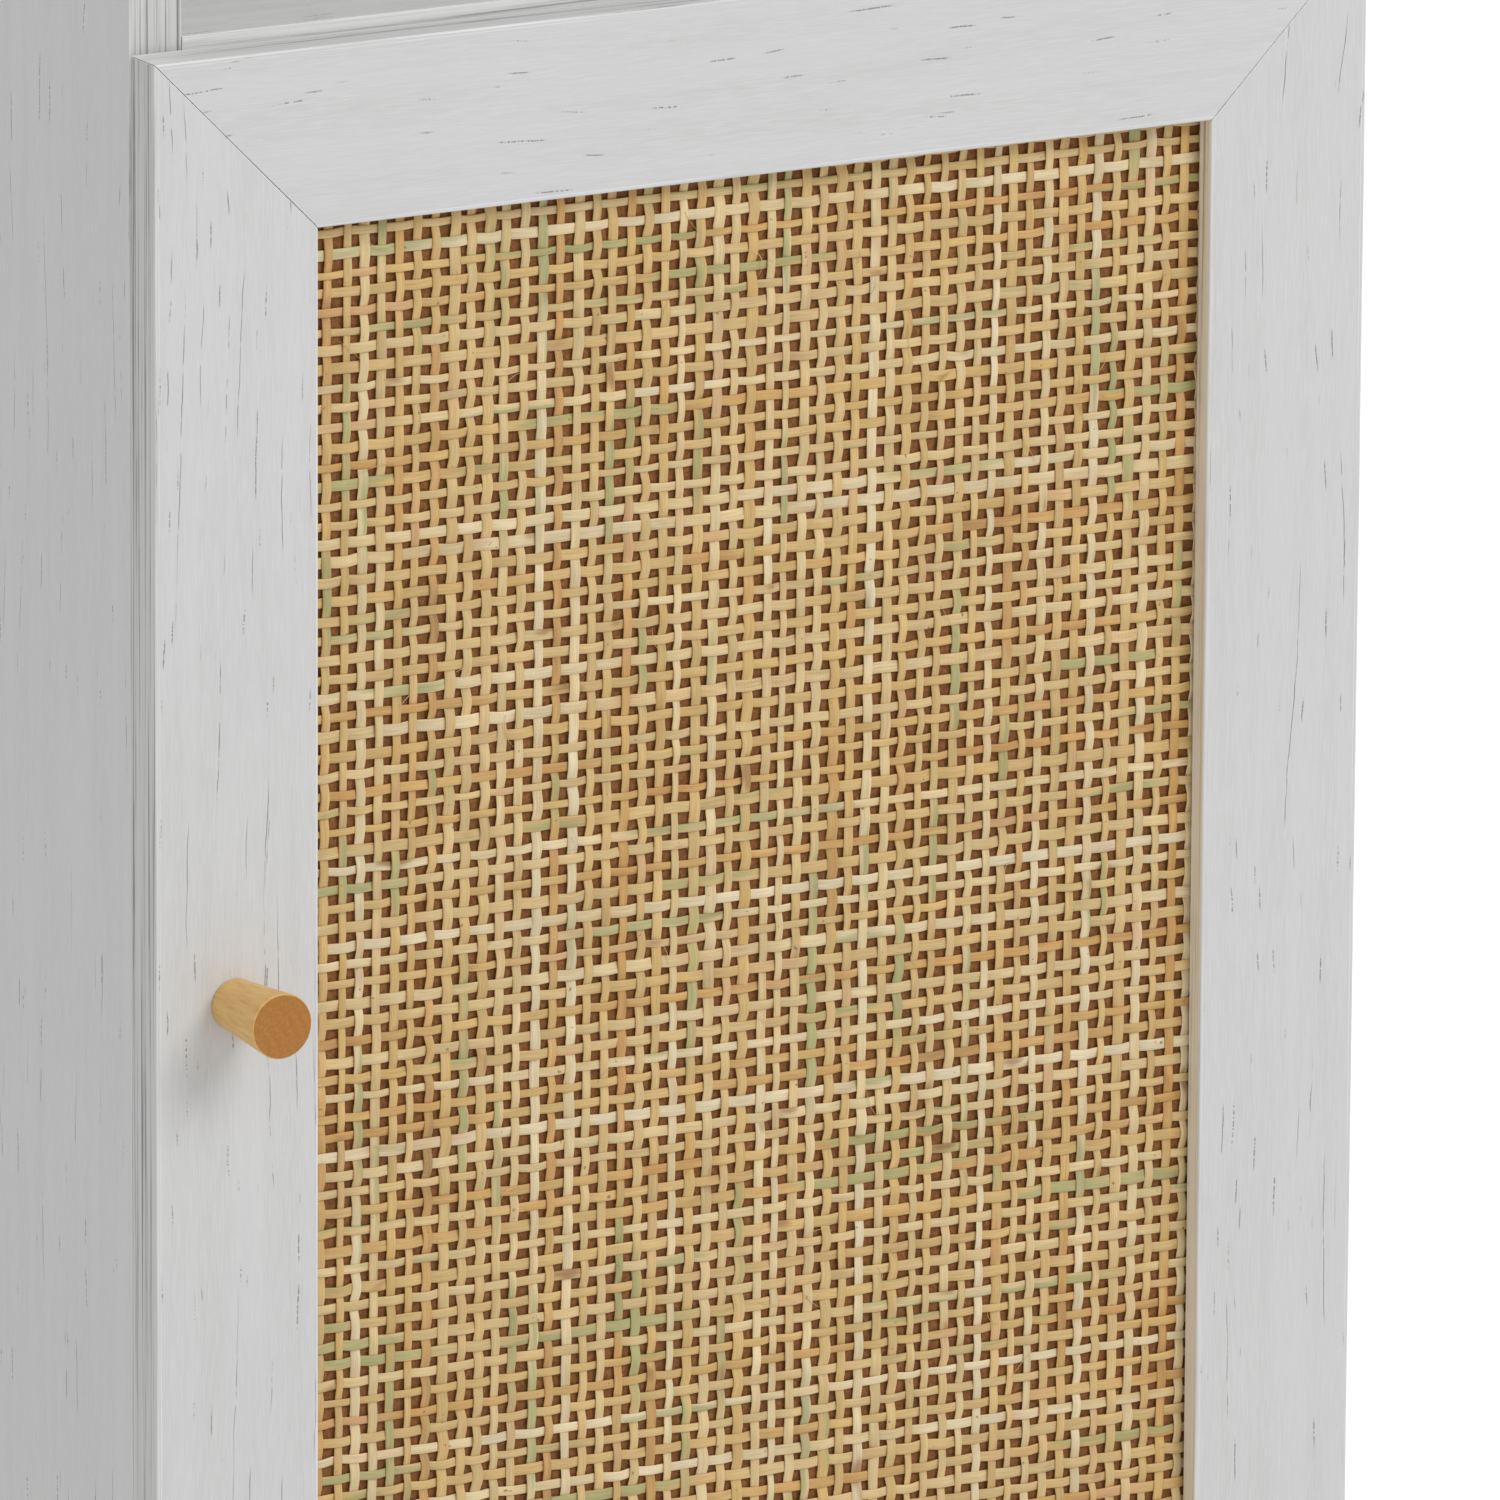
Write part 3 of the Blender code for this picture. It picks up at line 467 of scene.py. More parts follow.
def beech(name, face):
    # Turned and clear-lacquered beech: short dark flecks along the grain on the side, and growth rings
    # on the end, which takes the lacquer darker.
    material, tree, shader = newMaterial(name, Roughness=0.48, Specular_IOR_Level=0.35, Coat_Weight=0.08,
                                         Coat_Roughness=0.3)
    low, high = span("knob")
    middle = (low + high) / 2
    coordinates = addNode(tree, "TexCoord")
    centred = addNode(tree, "Mapping", None, {
        "Vector": coordinates.outputs["Object"], "Location": tuple(-middle)})
    across = 1 / beechLook["fleck"]
    lengthways = across if face == "end" else across / beechLook["fleckStretch"]
    scaled = addNode(tree, "Mapping", None, {"Vector": centred, "Scale": (across, lengthways, across)})
    grain = addNode(tree, "TexNoise", None, {
        "Vector": scaled, "Scale": 1.0, "Detail": 3.0, "Roughness": 0.6})
    heart = addNode(tree, "Mapping", None, {"Vector": centred, "Location": beechLook["heart"]})
    rings = addNode(tree, "TexWave", {"wave_type": "RINGS", "rings_direction": "Y"}, {
        "Vector": heart, "Scale": beechLook["ringScale"], "Distortion": 2.5, "Detail": 2.0,
        "Detail Scale": 1.5})
    mixed = addNode(tree, "Mix", None, {
        "Factor": 0.10 if face == "end" else 0.05, "A": grain, "B": rings.outputs["Fac"]})
    colour = addNode(tree, "ValToRGB", None, {"Fac": mixed}, beechLook[face])
    bump = addNode(tree, "Bump", None, {"Height": grain, "Strength": 0.3, "Distance": 0.06 * mm})
    feed(tree, shader, Base_Color=colour, Normal=bump)
    return material


looks["beechSide"] = beech("lacquered beech, side grain", "side")
looks["beechEnd"] = beech("lacquered beech, end grain", "end")


def plated(name, code, rough, grit):
    # Pressed or cast metal: even colour, with a fine uneven gloss that leaves highlights soft.
    material, tree, shader = newMaterial(name, Metallic=1.0)
    coordinates = addNode(tree, "TexCoord")
    grain = addNode(tree, "TexNoise", None, {
        "Vector": coordinates.outputs["Object"], "Scale": 1 / grit, "Detail": 3.0, "Roughness": 0.6})
    tone = addNode(tree, "MapRange", None, {"Value": grain, "To Min": 0.9, "To Max": 1.05})
    colour = addNode(tree, "Mix", timesColour, {"Factor": 1.0, "A": linear(code), "B": tone})
    gloss = addNode(tree, "MapRange", None, {
        "Value": grain, "From Min": 0.3, "From Max": 0.7, "To Min": rough * 0.75, "To Max": rough * 1.3})
    bump = addNode(tree, "Bump", None, {"Height": grain, "Strength": 0.2, "Distance": 0.05 * mm})
    feed(tree, shader, Base_Color=colour, Roughness=gloss, Normal=bump)
    return material


def moulded(name, code):
    # Injection-moulded polyethylene: waxy and slightly cloudy, light passing a little way in.
    material, tree, shader = newMaterial(name, Roughness=0.4, Specular_IOR_Level=0.5,
                                         Subsurface_Weight=0.3, Subsurface_Scale=1.5 * mm)
    coordinates = addNode(tree, "TexCoord")
    haze = addNode(tree, "TexNoise", None, {
        "Vector": coordinates.outputs["Object"], "Scale": 1 / (1.5 * mm), "Detail": 2.0})
    tone = addNode(tree, "MapRange", None, {"Value": haze, "To Min": 0.92, "To Max": 1.04})
    colour = addNode(tree, "Mix", timesColour, {"Factor": 1.0, "A": linear(code), "B": tone})
    feed(tree, shader, Base_Color=colour)
    return material


looks["nickel"] = plated("satin nickel-plated steel", "c9c7c1", 0.28, 0.9 * mm)
looks["zinc"] = plated("die-cast zinc alloy", "a9abae", 0.42, 0.5 * mm)
looks["plastic"] = moulded("moulded clear polyethylene", "e4e4e0")
print("stage: materials are made")


def addShell(name, body, rings, materials, choose=None, replaces=(), attributes=None):
    # rings is an array of tubes x stations x points x 3. Each ring is joined to the next and the first
    # and last of each tube are capped, so every tube is a closed shell. Six times its volume, from the
    # triple product of each face, is above 0 when its faces point out. choose picks each face's material.
    tubes, stations, around = rings.shape[:3]
    index = np.arange(tubes * stations * around).reshape(tubes, stations, around)
    turned = np.roll(index, -1, axis=2)
    quads = np.stack((index[:, :-1], turned[:, :-1], turned[:, 1:], index[:, 1:]), axis=-1).reshape(-1, 4)
    caps = np.concatenate((index[:, 0, ::-1], index[:, -1]))
    points = rings.reshape(-1, 3)
    centred = points - points.mean(axis=0)
    first, second, third, fourth = (centred[quads[:, k]] for k in range(4))
    volume = (np.cross(first, second) * third).sum() + (np.cross(first, third) * fourth).sum()
    capCentre = centred[caps].mean(axis=1, keepdims=True)
    following = np.roll(centred[caps], -1, axis=1)
    volume += (np.cross(centred[caps], following) * capCentre).sum()
    if volume < 0:
        quads, caps = quads[:, ::-1], caps[:, ::-1]
    corners = np.concatenate((quads.ravel(), caps.ravel())).astype(np.int32)
    starts = np.concatenate((np.arange(len(quads)) * 4, quads.size + np.arange(len(caps)) * around))
    mesh = bpy.data.meshes.new(name)
    mesh.vertices.add(len(points))
    mesh.vertices.foreach_set("co", points.astype(np.float32).ravel())
    mesh.loops.add(len(corners))
    mesh.loops.foreach_set("vertex_index", corners)
    mesh.polygons.add(len(starts))
    mesh.polygons.foreach_set("loop_start", starts.astype(np.int32))
    mesh.update(calc_edges=True)
    mesh.validate()
    for material in materials:
        mesh.materials.append(material)
    if choose:
        normals = np.empty(len(mesh.polygons) * 3, np.float32)
        mesh.polygons.foreach_get("normal", normals)
        centres = np.empty(len(mesh.polygons) * 3, np.float32)
        mesh.polygons.foreach_get("center", centres)
        chosen = choose(normals.reshape(-1, 3), centres.reshape(-1, 3))
        mesh.polygons.foreach_set("material_index", chosen.astype(np.int32))
    for key, values in (attributes or {}).items():
        if key.endswith("Map"):
            layer = mesh.uv_layers.new(name=key)
            layer.data.foreach_set("uv", values.reshape(-1, 2)[corners].astype(np.float32).ravel())
        else:
            attribute = mesh.attributes.new(key, "FLOAT", "POINT")
            attribute.data.foreach_set("value", values.astype(np.float32).ravel())
    mesh.shade_smooth()
    piece = bpy.data.objects.new(name, mesh)
    bpy.context.scene.collection.objects.link(piece)
    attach(piece, body)
    if replaces:
        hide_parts(*replaces)
    return piece


def rectangle(low, high, first=0, second=1):
    return [(low[first], low[second]), (high[first], low[second]),
            (high[first], high[second]), (low[first], high[second])]


def keepFlat(piece, angle=40):
    # flat faces keep their own normal, and the small rounds between them take the turn
    piece.data.set_sharp_from_angle(angle=math.radians(angle))
    modifier = piece.modifiers.new("weightedNormal", "WEIGHTED_NORMAL")
    modifier.keep_sharp = True


def roundedOutline(corners, radius, steps=4):
    # Each outer corner of a right-angled polygon becomes a quarter circle of this radius; inner
    # corners stay sharp.
    corners = np.array(corners, float)
    after = np.roll(corners, -1, axis=0)
    area = (corners[:, 0] * after[:, 1] - corners[:, 1] * after[:, 0]).sum()
    corners = corners if area > 0 else corners[::-1]
    ahead = np.roll(corners, -1, axis=0) - corners
    ahead /= np.linalg.norm(ahead, axis=1)[:, None]
    behind = np.roll(ahead, 1, axis=0)
    angles = np.linspace(0, math.pi / 2, steps + 1)[:, None]
    points = []
    for corner, before, after in zip(corners, behind, ahead):
        if before[0] * after[1] - before[1] * after[0] < 0:
            points.append(corner[None])
            continue
        inBefore, inAfter = np.array((-before[1], before[0])), np.array((-after[1], after[0]))
        centre = corner + radius * (inBefore + inAfter)
        points.append(centre - radius * (np.cos(angles) * inBefore + np.sin(angles) * inAfter))
    return np.concatenate(points)


def shrunk(outline, inset):
    # Each point moves along its corner's bisector, so that both of its edges move in by inset.
    ahead = np.roll(outline, -1, axis=0) - outline
    ahead /= np.linalg.norm(ahead, axis=1)[:, None]
    normal = np.stack((-ahead[:, 1], ahead[:, 0]), axis=1)
    bisector = normal + np.roll(normal, 1, axis=0)
    return outline + 2 * inset * bisector / (bisector ** 2).sum(axis=1)[:, None]


def carried(outline, axis, low, high, ease):
    # The outline runs along the axis, X or Z, from low to high, and both ends are rounded over a
    # quarter circle of radius ease.
    order = {"X": (0, 1, 2), "Z": (1, 2, 0)}[axis]
    turn = np.linspace(math.pi / 2, 0, 4)
    steps = ease * (1 - np.sin(turn))
    insets = ease * (1 - np.cos(turn))
    places = np.concatenate((low + steps, (high - steps)[::-1]))
    insets = np.concatenate((insets, insets[::-1]))
    rings = [np.column_stack((np.full(len(outline), place), shrunk(outline, inset)))
             for place, inset in zip(places, insets)]
    return np.array(rings)[None][..., list(order)]


def drill(piece, holes):
    # Round holes: each is (point at the mouth, direction in, radius, depth). Its cutter is a circle
    # carried from a millimetre before the mouth to the depth.
    sides = 40
    turn = np.linspace(0, math.tau, sides, endpoint=False)
    near = np.arange(sides)
    following = (near + 1) % sides
    walls = np.stack((near, following, following + sides, near + sides), axis=1).tolist()
    ends = [near[::-1].tolist(), (near + sides).tolist()]
    drills = bpy.data.collections.new("drills")
    for mouth, direction, radius, depth in holes:
        direction = Vector(direction)
        side = direction.orthogonal().normalized()
        circle = radius * (np.outer(np.cos(turn), side) + np.outer(np.sin(turn), direction.cross(side)))
        start, end = Vector(mouth) - direction * mm, Vector(mouth) + direction * depth
        points = np.concatenate((circle + np.array(start), circle + np.array(end)))
        mesh = bpy.data.meshes.new("drill")
        mesh.from_pydata(points.tolist(), [], walls + ends)
        drills.objects.link(bpy.data.objects.new("drill", mesh))
    modifier = piece.modifiers.new("drilled", "BOOLEAN")
    modifier.operand_type = "COLLECTION"
    modifier.collection = drills
    graph = bpy.context.evaluated_depsgraph_get()
    made = bpy.data.meshes.new_from_object(piece.evaluated_get(graph), depsgraph=graph)
    piece.modifiers.remove(modifier)
    piece.data = made
    for cutter in list(drills.objects):
        bpy.data.objects.remove(cutter)
    bpy.data.collections.remove(drills)


boards = {
    "arris": 0.45 * mm, "endEase": 0.15 * mm,            # rounds along a board and at its ends
    "pinHole": 2.6 * mm, "pinDepth": 11.5 * mm,          # radius and depth
    "pinPitch": 32 * mm,
    "camBore": 7.55 * mm, "camDepth": 12.4 * mm,         # radius and depth
    "rebateGap": 0.3 * mm,
    "sheetArris": 0.3 * mm, "sheetEase": 0.2 * mm,       # the same rounds on hardboard
    "flat": 0.985,                                       # a normal this square to a face is on it
}


def faceOf(thin):
    # 0 on the two wide faces, 1 on the edges, 2 on the rounds between them
    def choose(normals, _):
        sizes = np.abs(normals)
        flat = sizes.max(axis=1) > boards["flat"]
        return np.where(sizes[:, thin] > boards["flat"], 0, np.where(flat, 1, 2))
    return choose


def addBoard(name, node, grain, finish, holes=(), outline=None):
    # a foil-faced board over its packed one, with banding on the edges and rounds between, whose white
    # banding edge is painted lighter as a highlight
    low, high = span(node)
    along = "XYZ".index(grain)
    first, second = {"X": (1, 2), "Z": (0, 1)}[grain]
    outline = roundedOutline(outline or rectangle(low, high, first, second), boards["arris"])
    rings = carried(outline, grain, low[along], high[along], boards["endEase"])
    thin = int(np.argmin(high - low))
    materials = [looks[finish], looks["band" + grain], looks["arris" + grain]]
    piece = addShell(name, "cabinet", rings, materials, faceOf(thin), (node,))
    if holes:
        drill(piece, holes)
    keepFlat(piece)


def addSheet(name, node, body, materials, choose=None):
    # hardboard on edge: its outline seen from above, carried upwards
    low, high = span(node)
    outline = roundedOutline(rectangle(low, high), boards["sheetArris"], 2)
    rings = carried(outline, "Z", low[2], high[2], boards["sheetEase"])
    keepFlat(addShell(name, body, rings, materials, choose, (node,)))


def pinHoles(side):
    # three holes a pitch apart at each shelf pin, so that the shelf can be moved
    found = []
    panelLow, panelHigh = span(f"side_panel_{side}")
    mouth, inward = (panelHigh[0], -1) if side == "left" else (panelLow[0], 1)
    for level in ("lower", "upper"):
        for end in ("front", "rear"):
            middle = sum(span(f"shelf_pin_{level}_{side}_{end}")) / 2
            found += [((mouth, middle[1], middle[2] + step * boards["pinPitch"]), (inward, 0, 0),
                       boards["pinHole"], boards["pinDepth"]) for step in (-1, 0, 1)]
    return found


def buildCarcass():
    backLow, backHigh = span("back_panel")
    gap = boards["rebateGap"]
    for side in ("left", "right"):
        low, high = span(f"side_panel_{side}")
        # the rear inner corner is rebated for the back panel
        outer, inner, step = ((low[0], high[0], backLow[0] - gap) if side == "left"
                              else (high[0], low[0], backHigh[0] + gap))
        rebate = backLow[1] - gap
        outline = [(outer, low[1]), (inner, low[1]), (inner, rebate), (step, rebate),
                   (step, high[1]), (outer, high[1])]
        addBoard(f"side{side.title()}", f"side_panel_{side}", "Z", "panelFoil", pinHoles(side), outline)
    camHoles = []
    for side in ("left", "right"):
        for end in ("front", "rear"):
            middle = sum(span(f"cam_lock_{side}_{end}")) / 2
            camHoles.append(((middle[0], middle[1], span("niche_shelf")[0][2]), (0, 0, 1),
                             boards["camBore"], boards["camDepth"]))
    addBoard("nicheShelf", "niche_shelf", "X", "nicheFoil", camHoles)
    for name, node in (("topBoard", "top_panel"), ("bottomBoard", "bottom_panel"),
                       ("plinthBoard", "plinth_rail"), ("looseShelfLower", "shelf_lower"),
                       ("looseShelfUpper", "shelf_upper")):
        addBoard(name, node, "X", "railFoil")
    # white-faced hardboard: foil inside, bare brown fibre behind
    addSheet("backBoard", "back_panel", "cabinet", [looks["hardboard"], looks["panelFoil"]],
             lambda normals, _: (normals[:, 1] < -0.9).astype(int))


buildCarcass()
print("stage: carcass boards are made")


door = {
    "memberWidth": 57 * mm, "rebateWidth": 10 * mm, "lipDepth": 7.3 * mm,
    "outerArris": 0.7 * mm, "innerArris": 1.0 * mm, "lipArris": 0.3 * mm, "rearArris": 0.5 * mm,
    # the foil's fold lines: width, depth, and distance from the outer and the inner round
    "foldLine": 0.30 * mm, "foldDepth": 0.16 * mm, "outerFold": 0.6 * mm, "innerFold": 0.25 * mm,
    "mitreGap": 0.11 * mm, "mitreEase": 0.14 * mm, "mitreEaseLength": 0.30 * mm,
    "cupFromEdge": 21.5 * mm, "cupDepth": 13.5 * mm,
    "cupBore": 17.5 * mm, "knobBore": 2.3 * mm,           # radii
    "beadArris": 0.7 * mm,
}
doorSize = doorHigh - doorLow


def arc(centre, radius, start, end, steps=4):
    # points of a circle from one angle to another, in degrees
    turn = np.radians(np.linspace(start, end, steps + 1))[:, None]
    return np.array(centre) + radius * np.concatenate((np.cos(turn), np.sin(turn)), axis=1)


def memberOutline():
    # (distance in from the door's edge, depth behind its face), as a closed outline
    outer, inner, small, rear = (door[key + "Arris"] for key in ("outer", "inner", "lip", "rear"))
    width, lip, thick = door["memberWidth"], door["lipDepth"], doorSize[1]
    step = width - door["rebateWidth"]
    groove = np.array([(0, 0), (door["foldLine"] / 2, door["foldDepth"]), (door["foldLine"], 0)])
    return np.concatenate((
        arc((outer, outer), outer, 180, 270),
        groove * (1, 0.5) + (outer + door["outerFold"], 0),
        groove + (width - inner - door["innerFold"] - door["foldLine"], 0),
        arc((width - inner, inner), inner, -90, 0),
        arc((width - small, lip - small), small, 0, 90, 2),
        [(step, lip)],
        arc((step - rear, thick - rear), rear, 0, 90, 2),
        arc((outer, thick - outer), outer, 90, 180)))


def mitred(outline, length, place):
    # A member between two 45 degree cuts: at distance w from the door's edge its half length is
    # length / 2 - w. The ends draw in by mitreEase, which leaves a fine V at each joint.
    ease, run, cut = door["mitreEase"], door["mitreEaseLength"], door["mitreGap"] * math.sqrt(2)
    rings = []
    for end, inset, back in ((-1, ease, 0), (-1, 0, run), (1, 0, run), (1, ease, 0)):
        profile = shrunk(outline, inset)
        reach = length / 2 - profile[:, 0] - cut - back
        rings.append(place(end * reach, profile[:, 0], profile[:, 1]))
    return np.array(rings)[None]


def buildFrame(outline, pieces, replaced, holes):
    # Two upright and two level members from one outline. Each rule places the distance along the
    # member, the distance in from the door's edge and the depth behind its face.
    low, high, middle = doorLow, doorHigh, doorMiddle
    rules = (
        ("Z", lambda a, w, d: np.column_stack((low[0] + w, low[1] + d, middle[2] + a)), doorSize[2]),
        ("Z", lambda a, w, d: np.column_stack((high[0] - w, low[1] + d, middle[2] + a)), doorSize[2]),
        ("X", lambda a, w, d: np.column_stack((middle[0] + a, low[1] + d, high[2] - w)), doorSize[0]),
        ("X", lambda a, w, d: np.column_stack((middle[0] + a, low[1] + d, low[2] + w)), doorSize[0]),
    )
    for name, node, (grain, place, length) in zip(pieces, replaced, rules):
        finish = "stileFoil" if node == "door_stile_left" else {"Z": "panelFoil", "X": "railFoil"}[grain]
        materials = [looks[finish], looks["band" + grain], looks["arris" + grain], looks["reveal" + grain]]
        across = 0 if grain == "Z" else 2

        def choose(normals, centres, across=across):
            # 0 front and rear, 1 outer edge, 2 rounds and cut ends, 3 the faces towards the opening
            inward = np.sign(doorMiddle[across] - centres[:, across]) * normals[:, across]
            front = np.abs(normals[:, 1]) > boards["flat"]
            turned = np.where(inward > boards["flat"], 3, 2)
            return np.where(front, 0, np.where(inward < -boards["flat"], 1, turned))

        rings = mitred(outline, length, place)
        piece = addShell(name, "door", rings, materials, choose, (node,))
        if node in holes:
            drill(piece, holes[node])
        keepFlat(piece)


def stileHoles():
    # the knob's screw hole right through the left stile, and the hinge cups' bores in the right one
    rear = doorHigh[1]
    knobCentre = sum(span("knob_screw")) / 2
    cupX = doorHigh[0] - door["cupFromEdge"]
    cups = [sum(span(f"hinge_cup_{level}")) / 2 for level in ("upper", "lower")]
    return {
        "door_stile_left": [((knobCentre[0], rear, knobCentre[2]), (0, -1, 0), door["knobBore"],
                             doorSize[1] + mm)],
        "door_stile_right": [((cupX, rear, cup[2]), (0, -1, 0), door["cupBore"], door["cupDepth"])
                             for cup in cups],
    }


buildFrame(memberOutline(), ("doorStileLeft", "doorStileRight", "doorRailTop", "doorRailBottom"),
           members, stileHoles())


def buildBeads():
    # slim square beads that hold the cane and its board in the rebate
    names = ("bead_left", "bead_right", "bead_top", "bead_bottom")
    low, high = span("bead_left")
    outline = roundedOutline(rectangle(low - doorLow, high - doorLow), door["beadArris"], 3)
    buildFrame(outline, ("beadLeft", "beadRight", "beadTop", "beadBottom"), names, {})


buildBeads()
print("stage: door frame is made")


cane = {
    "pitchAcross": 6.27 * mm, "pitchUp": 6.13 * mm,       # middle to middle of neighbouring strands
    "strandWidth": 3.05 * mm, "strandThickness": 0.60 * mm,
    "wave": 0.37 * mm,                                    # how far a strand rises over each crossing
    "lean": 0.5,                                          # degrees the weave is turned in the frame
    "sunk": 0.3 * mm,                                     # how far it lies towards its board
    "stepsPerCrossing": 5,
    "strandScatter": 0.18 * mm,                           # of a whole strand
    "wanderAcross": 0.252 * mm, "wanderUp": 0.21 * mm,    # slowly, over so many crossings:
    "wanderRows": 17, "wanderColumns": 15,
    "scatterAcross": 0.17 * mm, "scatterUp": 0.136 * mm,  # of each crossing
    "zigzag": 0.085 * mm,                                 # to and fro from one crossing to the next
    "widthScatter": 0.11, "thicknessScatter": 0.08,       # shares, from strand to strand
    "widthDrift": 0.05, "driftStations": 22,              # share along a strand
    "twist": 6.0, "twistStations": 11,                    # degrees
    "seed": 21,
}
seedRange = 90   # a strand's own place in the rattan noise
# the strand's section: bark side domed, split side flat, in shares of its width and thickness
section = np.array([(-0.50, 0.10), (-0.455, 0.40), (-0.20, 0.50), (0.20, 0.50),
                    (0.455, 0.40), (0.50, 0.10), (0.44, -0.46), (-0.44, -0.46)])


def smoothRandom(random, count, length, period):
    # count rows of values that drift: random knots a period apart, joined by cosines
    knots = random.normal(size=(count, int(length / period) + 3))
    place = np.arange(length) / period + random.random()
    left = place.astype(int)
    share = (1 - np.cos((place - left) * math.pi)) / 2
    return knots[:, left] * (1 - share) + knots[:, left + 1] * share


def crossingPoints(random, columns, rows):
    # Where warp i crosses weft j: its place on the even grid, moved by each strand's own offset, its
    # slow wander and a small scatter, then turned by the lean.
    across = (np.arange(columns) - (columns - 1) / 2) * cane["pitchAcross"]
    up = (np.arange(rows) - (rows - 1) / 2) * cane["pitchUp"]
    x = np.repeat(across[:, None], rows, axis=1)
    z = np.repeat(up[None], columns, axis=0)
    x += cane["strandScatter"] * random.normal(size=(columns, 1))
    z += cane["strandScatter"] * random.normal(size=(1, rows))
    x += cane["wanderAcross"] * smoothRandom(random, columns, rows, cane["wanderRows"])
    z += cane["wanderUp"] * smoothRandom(random, rows, columns, cane["wanderColumns"]).T
    sign = (-1.0) ** (np.arange(columns)[:, None] + np.arange(rows)[None])
    x += cane["scatterAcross"] * random.normal(size=x.shape)
    x += cane["zigzag"] * sign * random.normal(size=(columns, 1))
    z += cane["scatterUp"] * random.normal(size=z.shape)
    lean = math.radians(cane["lean"])
    return x + lean * z, z - lean * x


def throughCrossings(values):
    # rows of values at the crossings, run on half a pitch past both ends and read at every station
    # on a curve through them (Catmull and Rom's cubic)
    before, after = 2 * values[:, :1] - values[:, 1:2], 2 * values[:, -1:] - values[:, -2:-1]
    farBefore, farAfter = 2 * before - values[:, :1], 2 * after - values[:, -1:]
    padded = np.concatenate((farBefore, before, values, after, farAfter), axis=1)
    steps = cane["stepsPerCrossing"]
    place = np.arange(values.shape[1] * steps + 1) / steps + 1.5
    left = np.clip(place.astype(int), 1, padded.shape[1] - 3)
    t = place - left
    a, b, c, d = (padded[:, left + k] for k in (-1, 0, 1, 2))
    return 0.5 * (2 * b + (c - a) * t + (2 * a - 5 * b + 4 * c - d) * t ** 2
                  + (3 * b - a - 3 * c + d) * t ** 3)


def strandRings(random, lateral, alongs, over, middleY, upright):
    # One ribbon for each row: its section is set square to its path, tilts by a slow twist, and
    # rides over and under the other set on a flattened cosine.
    count = len(lateral)
    side, length = throughCrossings(lateral), throughCrossings(alongs)
    stations = side.shape[1]
    phase = np.arange(stations) / cane["stepsPerCrossing"] - 0.5
    wave = np.cos(math.pi * phase)
    wave = wave * (1.25 - 0.25 * wave ** 2)
    sign = over * (-1.0) ** np.arange(count)
    height = cane["wave"] * sign[:, None] * wave[None]
    share = 1 + cane["widthScatter"] * random.normal(size=(count, 1))
    share = share + cane["widthDrift"] * smoothRandom(random, count, stations, cane["driftStations"])
    width = cane["strandWidth"] * np.clip(share, 0.72, 1.3)
    twist = np.radians(cane["twist"]) * smoothRandom(random, count, stations, cane["twistStations"])
    thickness = cane["strandThickness"] * (1 + cane["thicknessScatter"] * random.normal(size=(count, 1)))
    slope = np.gradient(side, axis=1) / np.gradient(length, axis=1)
    across = section[:, 0] * width[..., None]
    out = section[:, 1] * thickness[..., None] + across * np.tan(twist)[..., None]
    sideways = side[..., None] + across
    lengthways = length[..., None] - across * slope[..., None]
    depth = middleY - height[..., None] - out
    order = (sideways, depth, lengthways) if upright else (lengthways, depth, sideways)
    rings = np.stack(order, axis=-1)
    seeds = np.repeat(random.random((count, 1)) * seedRange, stations * len(section), axis=1)
    uv = np.stack((np.repeat(length[..., None], len(section), axis=2),
                   np.broadcast_to(section[:, 0] + 0.5, across.shape)), axis=-1)
    return rings, uv, seeds.reshape(count, stations, -1)


def buildCane():
    # The warp stands and the weft lies level; where one is over, the other is under. Each set is
    # two pieces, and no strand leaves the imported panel's box.
    low, high = span("cane_panel")
    random = np.random.default_rng(cane["seed"])
    size = high - low
    columns = int(size[0] / cane["pitchAcross"])
    rows = int(size[2] / cane["pitchUp"])
    x, z = crossingPoints(random, columns, rows)
    middle = (low + high) / 2
    x, z, middleY = x + middle[0], z + middle[2], middle[1] + cane["sunk"]
    warp = strandRings(random, x, z, 1, middleY, True)
    weft = strandRings(random, z.T, x.T, -1, middleY, False)
    for names, strands in ((("warpLeft", "warpRight"), warp), (("weftLower", "weftUpper"), weft)):
        rings, uv, seeds = strands
        rings = np.clip(rings, low, high)
        half = len(rings) // 2
        for name, part in zip(names, (slice(0, half), slice(half, None))):
            addShell(name, "door", rings[part], [looks["rattan"]], None, ("cane_panel",),
                     {"strandMap": uv[part], "strandSeed": seeds[part]})
    print("cane:", columns, "upright and", rows, "level strands")


buildCane()


hairs = {
    "count": 46, "length": (4 * mm, 13 * mm), "bend": 2.4,   # bend in radians over the length
    "radius": 0.10 * mm,                                     # coarser than real, so that they show
    "stations": 9, "around": 5,
    "inset": 6 * mm,                                         # kept so far inside the opening
    "foot": 0.55 * mm, "lift": 0.45 * mm,                    # depth of the ends, and rise in the middle
    "seed": 5,
}


